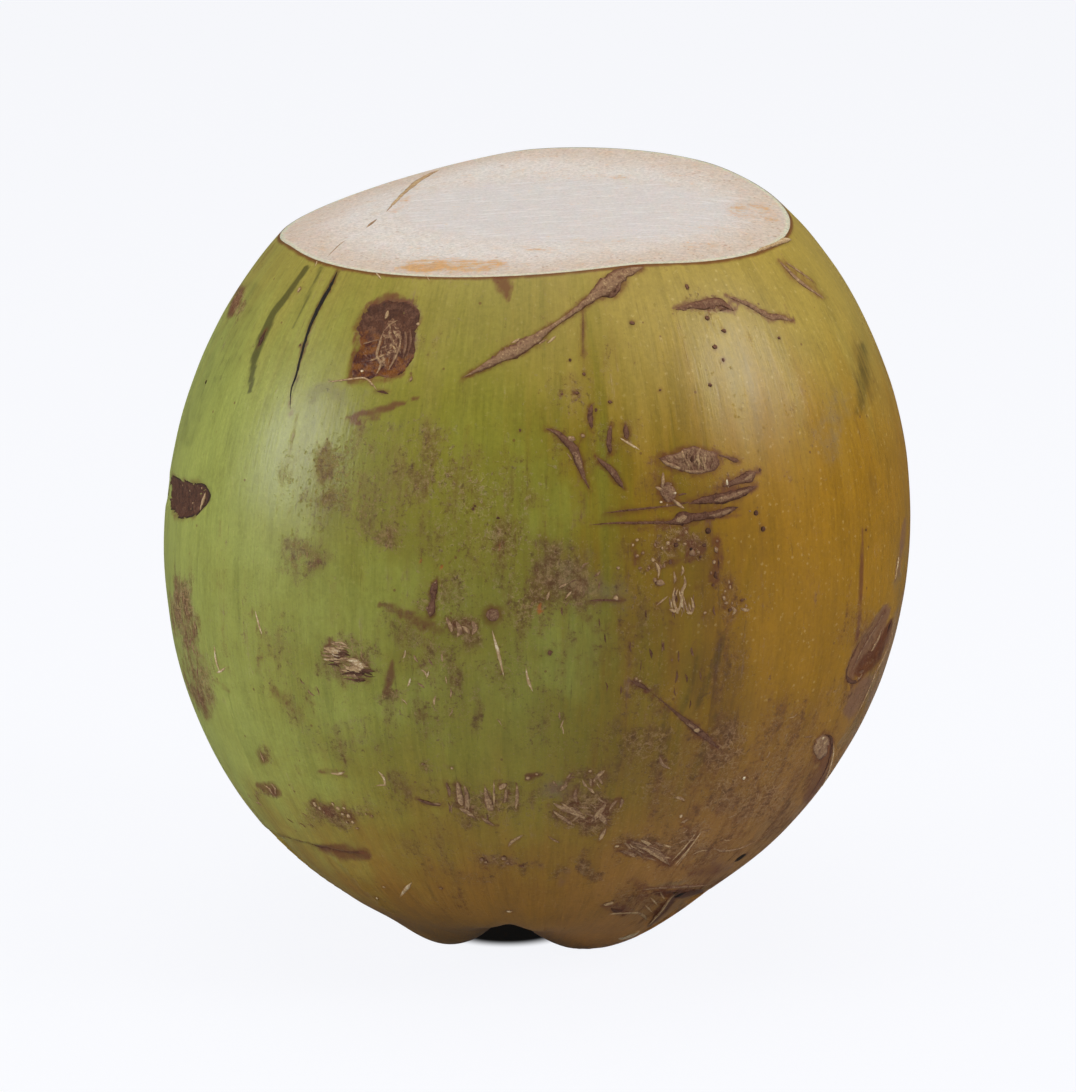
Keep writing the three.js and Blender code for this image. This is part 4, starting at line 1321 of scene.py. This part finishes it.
# crowds of small dry flakes in the frame: across, down, half width, half height, how many, lean and
# spread in degrees, half length in pixels, half width in millimetres, tone
crowds = [
    (694, 461, 20, 8, 24, 100, 25, 5, .25, 0.66), (668, 493, 5, 6, 5, 70, 50, 3, .22, 0.6),
    (530, 342, 34, 6, 14, -36, 10, 5, .25, 0.62), (612, 286, 14, 8, 14, -40, 30, 4, .3, 0.62),
    (571, 450, 8, 10, 8, 60, 20, 4, .25, 0.62), (676, 550, 42, 20, 16, 0, 90, 2.5, .35, 0.42),
    (682, 600, 13, 14, 30, 86, 18, 5, .2, 0.7), (694, 540, 12, 10, 10, 0, 90, 3, .5, 0.26),
    (716, 556, 4, 22, 12, 84, 20, 4, .4, 0.24), (336, 653, 9, 12, 34, 10, 8, 7, .28, 0.72),
    (357, 668, 10, 11, 38, 10, 8, 7, .28, 0.72), (338, 656, 9, 12, 14, 10, 8, 7, .3, 0.28),
    (358, 674, 10, 9, 16, 10, 8, 7, .3, 0.28), (430, 680, 30, 44, 44, 70, 50, 4, .22, 0.7),
    (412, 655, 12, 12, 16, 80, 40, 4, .28, 0.66), (476, 800, 34, 20, 14, 84, 16, 5, .25, 0.5),
    (586, 810, 34, 12, 14, 30, 30, 5, .25, 0.52), (580, 780, 30, 12, 16, 40, 60, 4, .28, 0.48),
    (648, 851, 26, 9, 34, 30, 14, 6, .25, 0.58), (640, 905, 30, 14, 12, -30, 40, 4, .25, 0.5),
    (304, 824, 24, 9, 14, 35, 15, 4, .25, 0.5), (319, 808, 7, 4, 9, 30, 40, 3, .45, 0.5),
    (343, 813, 11, 9, 16, 50, 30, 3, .45, 0.46), (366, 815, 8, 3, 6, 10, 20, 3, .35, 0.4),
    (258, 806, 14, 14, 10, 50, 20, 4, .25, 0.55), (460, 628, 16, 8, 6, 80, 30, 4, .25, 0.6),
    (200, 660, 14, 40, 18, 80, 30, 5, .3, 0.6), (568, 584, 36, 22, 34, -50, 40, 4, .22, 0.56),
    (500, 520, 60, 60, 40, 88, 14, 3, .18, 0.26), (470, 440, 60, 40, 20, 88, 20, 3, .15, 0.28),
    (600, 640, 60, 60, 26, 88, 16, 4, .2, 0.28), (680, 650, 50, 60, 24, 88, 12, 6, .22, 0.28),
    (264, 628, 10, 14, 8, 80, 30, 3, .22, 0.6), (226, 664, 12, 12, 6, 60, 60, 3, .25, 0.6),
    (724, 606, 20, 16, 16, 40, 90, 3, .3, 0.6), (650, 690, 30, 24, 22, 40, 90, 3, .28, 0.55),
    (780, 760, 40, 50, 34, -40, 50, 4, .25, 0.6), (720, 830, 44, 24, 34, -30, 40, 4, .28, 0.6),
    (612, 440, 24, 24, 14, 50, 90, 3, .3, 0.45), (704, 480, 44, 22, 16, -10, 40, 4, .28, 0.5),
    (700, 306, 30, 9, 12, -5, 40, 4, .35, 0.35), (386, 532, 18, 16, 12, 60, 90, 3, .25, 0.5),
    (344, 504, 22, 14, 12, 60, 90, 3, .25, 0.45), (560, 590, 40, 24, 18, 80, 60, 3, .22, 0.6),
    (500, 860, 40, 16, 16, 10, 70, 3, .3, 0.55), (366, 750, 50, 24, 20, 30, 90, 3, .22, 0.6),
    (862, 690, 14, 20, 8, -60, 30, 5, .3, 0.5), (530, 720, 40, 40, 14, 80, 40, 4, .18, 0.7),
    (300, 700, 24, 30, 12, 80, 40, 4, .2, 0.65), (390, 345, 9, 20, 16, 80, 24, 6, .2, 0.58),
]


def addPatch(bm, layers, outline, lift, tone, kind, draw, turn=0):
    # a scab with an outline of its own, over the skin, its edge and back sunk in it
    middle, around, reaches = outlineReach(outline)
    size = reaches.mean()
    columns, topRows = max(16, round(size * 2.2)), max(4, round(size / 2.6))
    rows = topRows + 4
    verts, shares = gridShares(bm, columns, rows)
    phase = draw.uniform(0, 100)
    for v, (a, b) in zip(verts, shares.tolist()):
        angle = 2 * math.pi * (a % 1 if a < 1 - 1e-6 else 0)
        out = min(1, b * rows / topRows)
        back = max(0, (b * rows - topRows - 1) / 3)
        share = out * (1 - back)
        rag = 1 + 0.12 * noise.noise(Vector((3 * math.cos(angle), 3 * math.sin(angle), phase)))
        reach = np.interp((angle + math.pi) % (2 * math.pi) - math.pi, around, reaches) * rag
        point = None
        while point is None:
            across, down = middle + share * reach * np.array([math.cos(angle), math.sin(angle)])
            point, normal = skinAt(across, down, turn)
            reach *= 0.97
        at = Vector((across, down, phase))
        crust = noise.noise(Vector((across / 5, down / 5, phase))) + 0.6 * noise.noise(at / 2)
        rounded = (1 - out ** 6) if b * rows <= topRows else 0
        under = -0.4 * (b * rows > topRows + 0.5)
        rise = lift * (0.55 + 0.8 * crust) * rounded if b * rows < topRows - 0.5 else under
        v.co = point + normal * max(rise, 0.04 * rounded if rise >= 0 else rise)
        v[layers["tone"]] = tone
        v[layers["edge"]] = out ** 3
        v[layers["net"]] = float(kind == "net")
        if kind == "resin":
            slant = ((across - middle[0]) * -0.5 + (down - middle[1])) / size
            v[layers["amber"]] = float(smooth(-0.25, 0.55, slant))
            v[layers["edge"]] = 0


def crowdPaths(draw, across, down, halfWide, halfHigh, count, lean, spread, halfLong, half):
    # short bent paths scattered over an oval, thinning out towards its edge
    made = []
    for _ in range(count):
        out, about = draw.random() ** 0.7, draw.uniform(0, 2 * math.pi)
        u, v = across + out * halfWide * math.cos(about), down + out * halfHigh * math.sin(about)
        angle = math.radians(lean + draw.uniform(-spread, spread))
        long = halfLong * draw.uniform(0.4, 1.3)
        du, dv = math.cos(angle) * long, math.sin(angle) * long
        bend = draw.uniform(-0.3, 0.3)
        wide = half * draw.uniform(0.5, 1.4)
        ends = [(u - du, v - dv, wide * 0.3), (u + du, v + dv, wide * 0.3)]
        made.append([ends[0], (u + dv * bend, v - du * bend, wide), ends[1]])
    return made


def barkMaterial():
    sheet = Sheet("scarBark")
    look = {name: tint(*barkLook[name]) for name in
            ("black", "dark", "brown", "cork", "pale", "cream", "amber", "resin")}
    at = objectPoint(sheet)
    coarse = sheet.noise(at, 1.8, 4, 0.7)
    grain = sheet.noise(at, 0.5, 3, 0.7)
    wrinkle = abs(sheet.noise(at, 1.5, 2, 0.6, 0.6) - 0.5)
    edge, amber = sheet.attribute("edge"), sheet.attribute("amber")
    plain = sheet.attribute("tone")
    tone = plain + (coarse - 0.5) * 0.6 + (grain - 0.5) * 0.5 - edge.smooth(0.6, 1) * 0.2
    tone = tone + (wrinkle.smooth(0.05, 0.0) * 0.12 - wrinkle.smooth(0.1, 0.2) * 0.08) * plain.smooth(0.15, 0.5)
    tone = tone.most(plain * 0.4) - wrinkle.smooth(0.03, 0.1) * sheet.attribute("net") * 0.26
    black = plain.smooth(0.2, 0.05)
    colour = look["black"]
    for low, high, name in ((0.02, 0.14, "dark"), (0.16, 0.34, "brown"), (0.36, 0.56, "cork"),
                            (0.58, 0.76, "pale"), (0.8, 1.0, "cream")):
        colour = sheet.mix(tone.smooth(low, high), colour, look[name])
    colour = sheet.mix(black, colour, look["black"])
    resin = (amber + (coarse - 0.5) * 1.6).smooth(0.2, 0.8) * tone.smooth(0.6, 0.35)
    colour = sheet.mix(resin * 0.9, colour, sheet.mix(coarse.smooth(0.4, 0.62), look["resin"], look["amber"]))
    rough = barkLook["roughness"] + (grain - 0.5) * 0.2 - resin * 0.35
    return sheet.finish(colour, rough, grain * 0.3 + coarse * 0.35 - wrinkle * 0.6, 0.7)


def carried(path, draw):
    # a path mirrored and shifted, for a hidden side
    along, down = (draw.uniform(-1, 1) * behind["shift"] for _ in range(2))
    return [(view["frame"][0] - u + along, v + down, *rest) for u, v, *rest in path]


def missed(trail, turn, draw):
    # whether a trail is left out on a hidden side: by chance, or off its skin, clear of slice and foot
    if not turn:
        return False
    if draw.random() >= behind["kept"] or len(trail) < 4:
        return True
    places = np.array([point for point, *_ in trail]) + boxMiddle
    away = np.array([outward for _, outward, *_ in trail]) @ np.array(viewAxes()[3])
    low = places[:, 2] < sliceHeights(places[:, 0], places[:, 1]) - 2
    return not (low & (places[:, 2] > 4) & (away > 0.03)).all()


def makeMarks(cutMesh):
    bm = bmesh.new()
    layers = {name: bm.verts.layers.float.new(name) for name in ("tone", "edge", "amber", "net")}
    draw = random.Random(5)
    trails = []  # each with how dark the skin is beside it
    for tone, lift, outline, kind in patches:
        addPatch(bm, layers, outline, lift, tone, kind, draw)
        if kind == "net":
            continue
        middle = np.mean(outline, 0)
        ring = [middle + (np.array(corner) - middle) * 0.92 for corner in outline]
        trails.append((trailOf([(*corner, 1.0) for corner in ring + ring[:1]]), 0.8))
    ground["tree"] = treeOver(huskMesh, cutMesh, bm)
    for turn in (0, *behind["turns"]):
        for tone, lift, path in marks:
            trail = trailOf(carried(path, draw) if turn else path, turn)
            if not missed(trail, turn, draw):
                addRibbon(bm, layers, trail, lift, tone, draw)
                darkness = 0.85 if tone < 0.55 else 0.55 if tone < scratch else 0.4
                trails.append((trail, 0.8 if turn else darkness))
        for u, v, half, tone in specks:
            if turn:
                u, v = carried([(u, v)], draw)[0]
            point, outward = skinAt(u, v, turn)
            if point is None or missed([(point, outward)] * 4, turn, draw):
                continue
            addCrumb(bm, layers, point, outward, half, tone, draw)
            if not turn:
                trails.append(([(point, outward, half * 0.7)], 0.8))
        for across, down, *crowd, tone in crowds:
            if turn:
                across, down = carried([(across, down)], draw)[0]
            for path in crowdPaths(draw, across, down, *crowd):
                trail = trailOf(path, turn)
                if not missed(trail, turn, draw):
                    shade = min(1, max(0.2, tone + draw.uniform(-0.18, 0.14)))
                    addRibbon(bm, layers, trail, barkLook["flakeLift"], shade, draw)
                    trails.append((trail, 0.4))
    closeUp(bm)
    return bm, trails


def fringed(points, trails):
    # how near each point of the skin is to a mark, 1 beside it
    tree = KDTree(len(points))
    for index, point in enumerate(points.tolist()):
        tree.insert(point, index)
    tree.balance()
    amount = np.zeros(len(points))
    for trail, strength in trails:
        for point, outward, half in trail:
            reach = half + 1.3
            for _, index, gap in tree.find_range(point, reach):
                past = max(0, gap - half * 0.6) / (reach - half * 0.6)
                amount[index] = max(amount[index], strength * (1 - past))
    return amount


studio = {
    # lamp: azimuth, height angle, distance, width, height (metres), watts, colour, shows in gloss
    "leftBox": (-165, 17, 1.3, 0.5, 0.45, 6.8, (1.0, 1.0, 1.0), True),
    "rightBox": (-21, 33, 1.3, 0.42, 0.5, 6.8, (1.0, 0.98, 0.95), True),
    "overhead": (-90, 88, 1.6, 1.4, 1.4, 21, (1.0, 1.0, 1.0), False),
    "worldLight": 0.1,
    "paper": (248, 249, 253),
    "floorRadius": 6,  # metres
    "cardDepth": 0.0005,
    "paintedFootShadow": (7, 13, 19),  # a painted shadow under the stalk hollow, in millimetres: aside, inner, outer
}


def addDisc(name, low, material):
    bm = bmesh.new()
    bmesh.ops.create_circle(bm, cap_ends=True, segments=64, radius=studio["floorRadius"])
    bmesh.ops.translate(bm, vec=(0, 0, -low), verts=bm.verts)
    mesh = bpy.data.meshes.new(name)
    bm.to_mesh(mesh)
    bm.free()
    mesh.materials.append(material)
    disc = bpy.data.objects.new(name, mesh)
    bpy.context.scene.collection.objects.link(disc)
    return disc


def addFloor():
    # the pale floor that is seen, with a painted shadow under the stalk hollow, and under it the card that
    # throws light back up
    sheet = Sheet("paleFloor")
    x, y, z = sheet.split(objectPoint(sheet))
    # painted shadow: the floor's glow fades to black under the stalk hollow
    aside, inner, outer = studio["paintedFootShadow"]
    away = ((x + aside) * (x + aside) + y * y).maths("SQRT")
    lit = sheet.mix(away.smooth(inner, outer), (0.004, 0.004, 0.004), tint(*studio["paper"]))
    pale = sheet.finish((0.04, 0.04, 0.04, 1), 0.9, Emission_Color=lit, Emission_Strength=0.96)
    floor = addDisc("floor", 0, pale)
    floor.visible_diffuse = floor.visible_glossy = floor.visible_shadow = False
    card = addDisc("bounceCard", studio["cardDepth"], Sheet("whiteCard").finish((0.85, 0.85, 0.85, 1), 0.9))
    card.visible_camera = card.visible_glossy = False


def addLamp(name):
    azimuth, rise, away, wide, high, watts, colour, gloss = studio[name]
    data = bpy.data.lights.new(name, "AREA")
    data.shape = "RECTANGLE"
    data.size = wide
    data.size_y = high
    data.energy = watts
    data.color = colour
    lamp = bpy.data.objects.new(name, data)
    about, up = math.radians(azimuth), math.radians(rise)
    out = Vector((math.cos(about) * math.cos(up), math.sin(about) * math.cos(up), math.sin(up)))
    lamp.location = Vector(view["target"]) * mm + out * away
    lamp.rotation_euler = out.to_track_quat("Z", "Y").to_euler()
    lamp.visible_glossy = gloss
    bpy.context.scene.collection.objects.link(lamp)


def addWorld():
    world = bpy.data.worlds.new("studio")
    world.use_nodes = True
    background = world.node_tree.nodes["Background"]
    background.inputs["Color"].default_value = (*tint(*studio["paper"]), 1)
    background.inputs["Strength"].default_value = studio["worldLight"]
    bpy.context.scene.world = world


addFloor()
for lampName in ("leftBox", "rightBox", "overhead"):
    addLamp(lampName)
addWorld()
bpy.context.scene.view_settings.view_transform = "Standard"
print("studio lit")


huskPoints, huskOutward = coordinates(huskMesh), normals(huskMesh)
huskFacing = facings(huskOutward)
paintPoints = wandered(huskPoints)
for kind in blots:
    addAttribute(huskMesh, kind, blotted(paintPoints, huskFacing, kind))
for kind in strokes:
    addAttribute(huskMesh, kind, stroked(huskPoints, huskFacing, kind))
print("skin painted")
addAttribute(huskMesh, "rim", belowRim(huskPoints))
markMesh, markTrails = makeMarks(cutMesh)
addAttribute(huskMesh, "fringe", fringed(huskPoints, markTrails))
print("marks made:", len(markMesh.faces), "faces")
greenSkin = skinMaterial()
huskPiece = writeMesh("greenHusk", huskMesh, [greenSkin])
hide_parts("green_coconut")
writeMesh("skinMarks", markMesh, [barkMaterial()])
writeMesh("cutFace", cutMesh, [cutMaterial()])
print("pieces made")
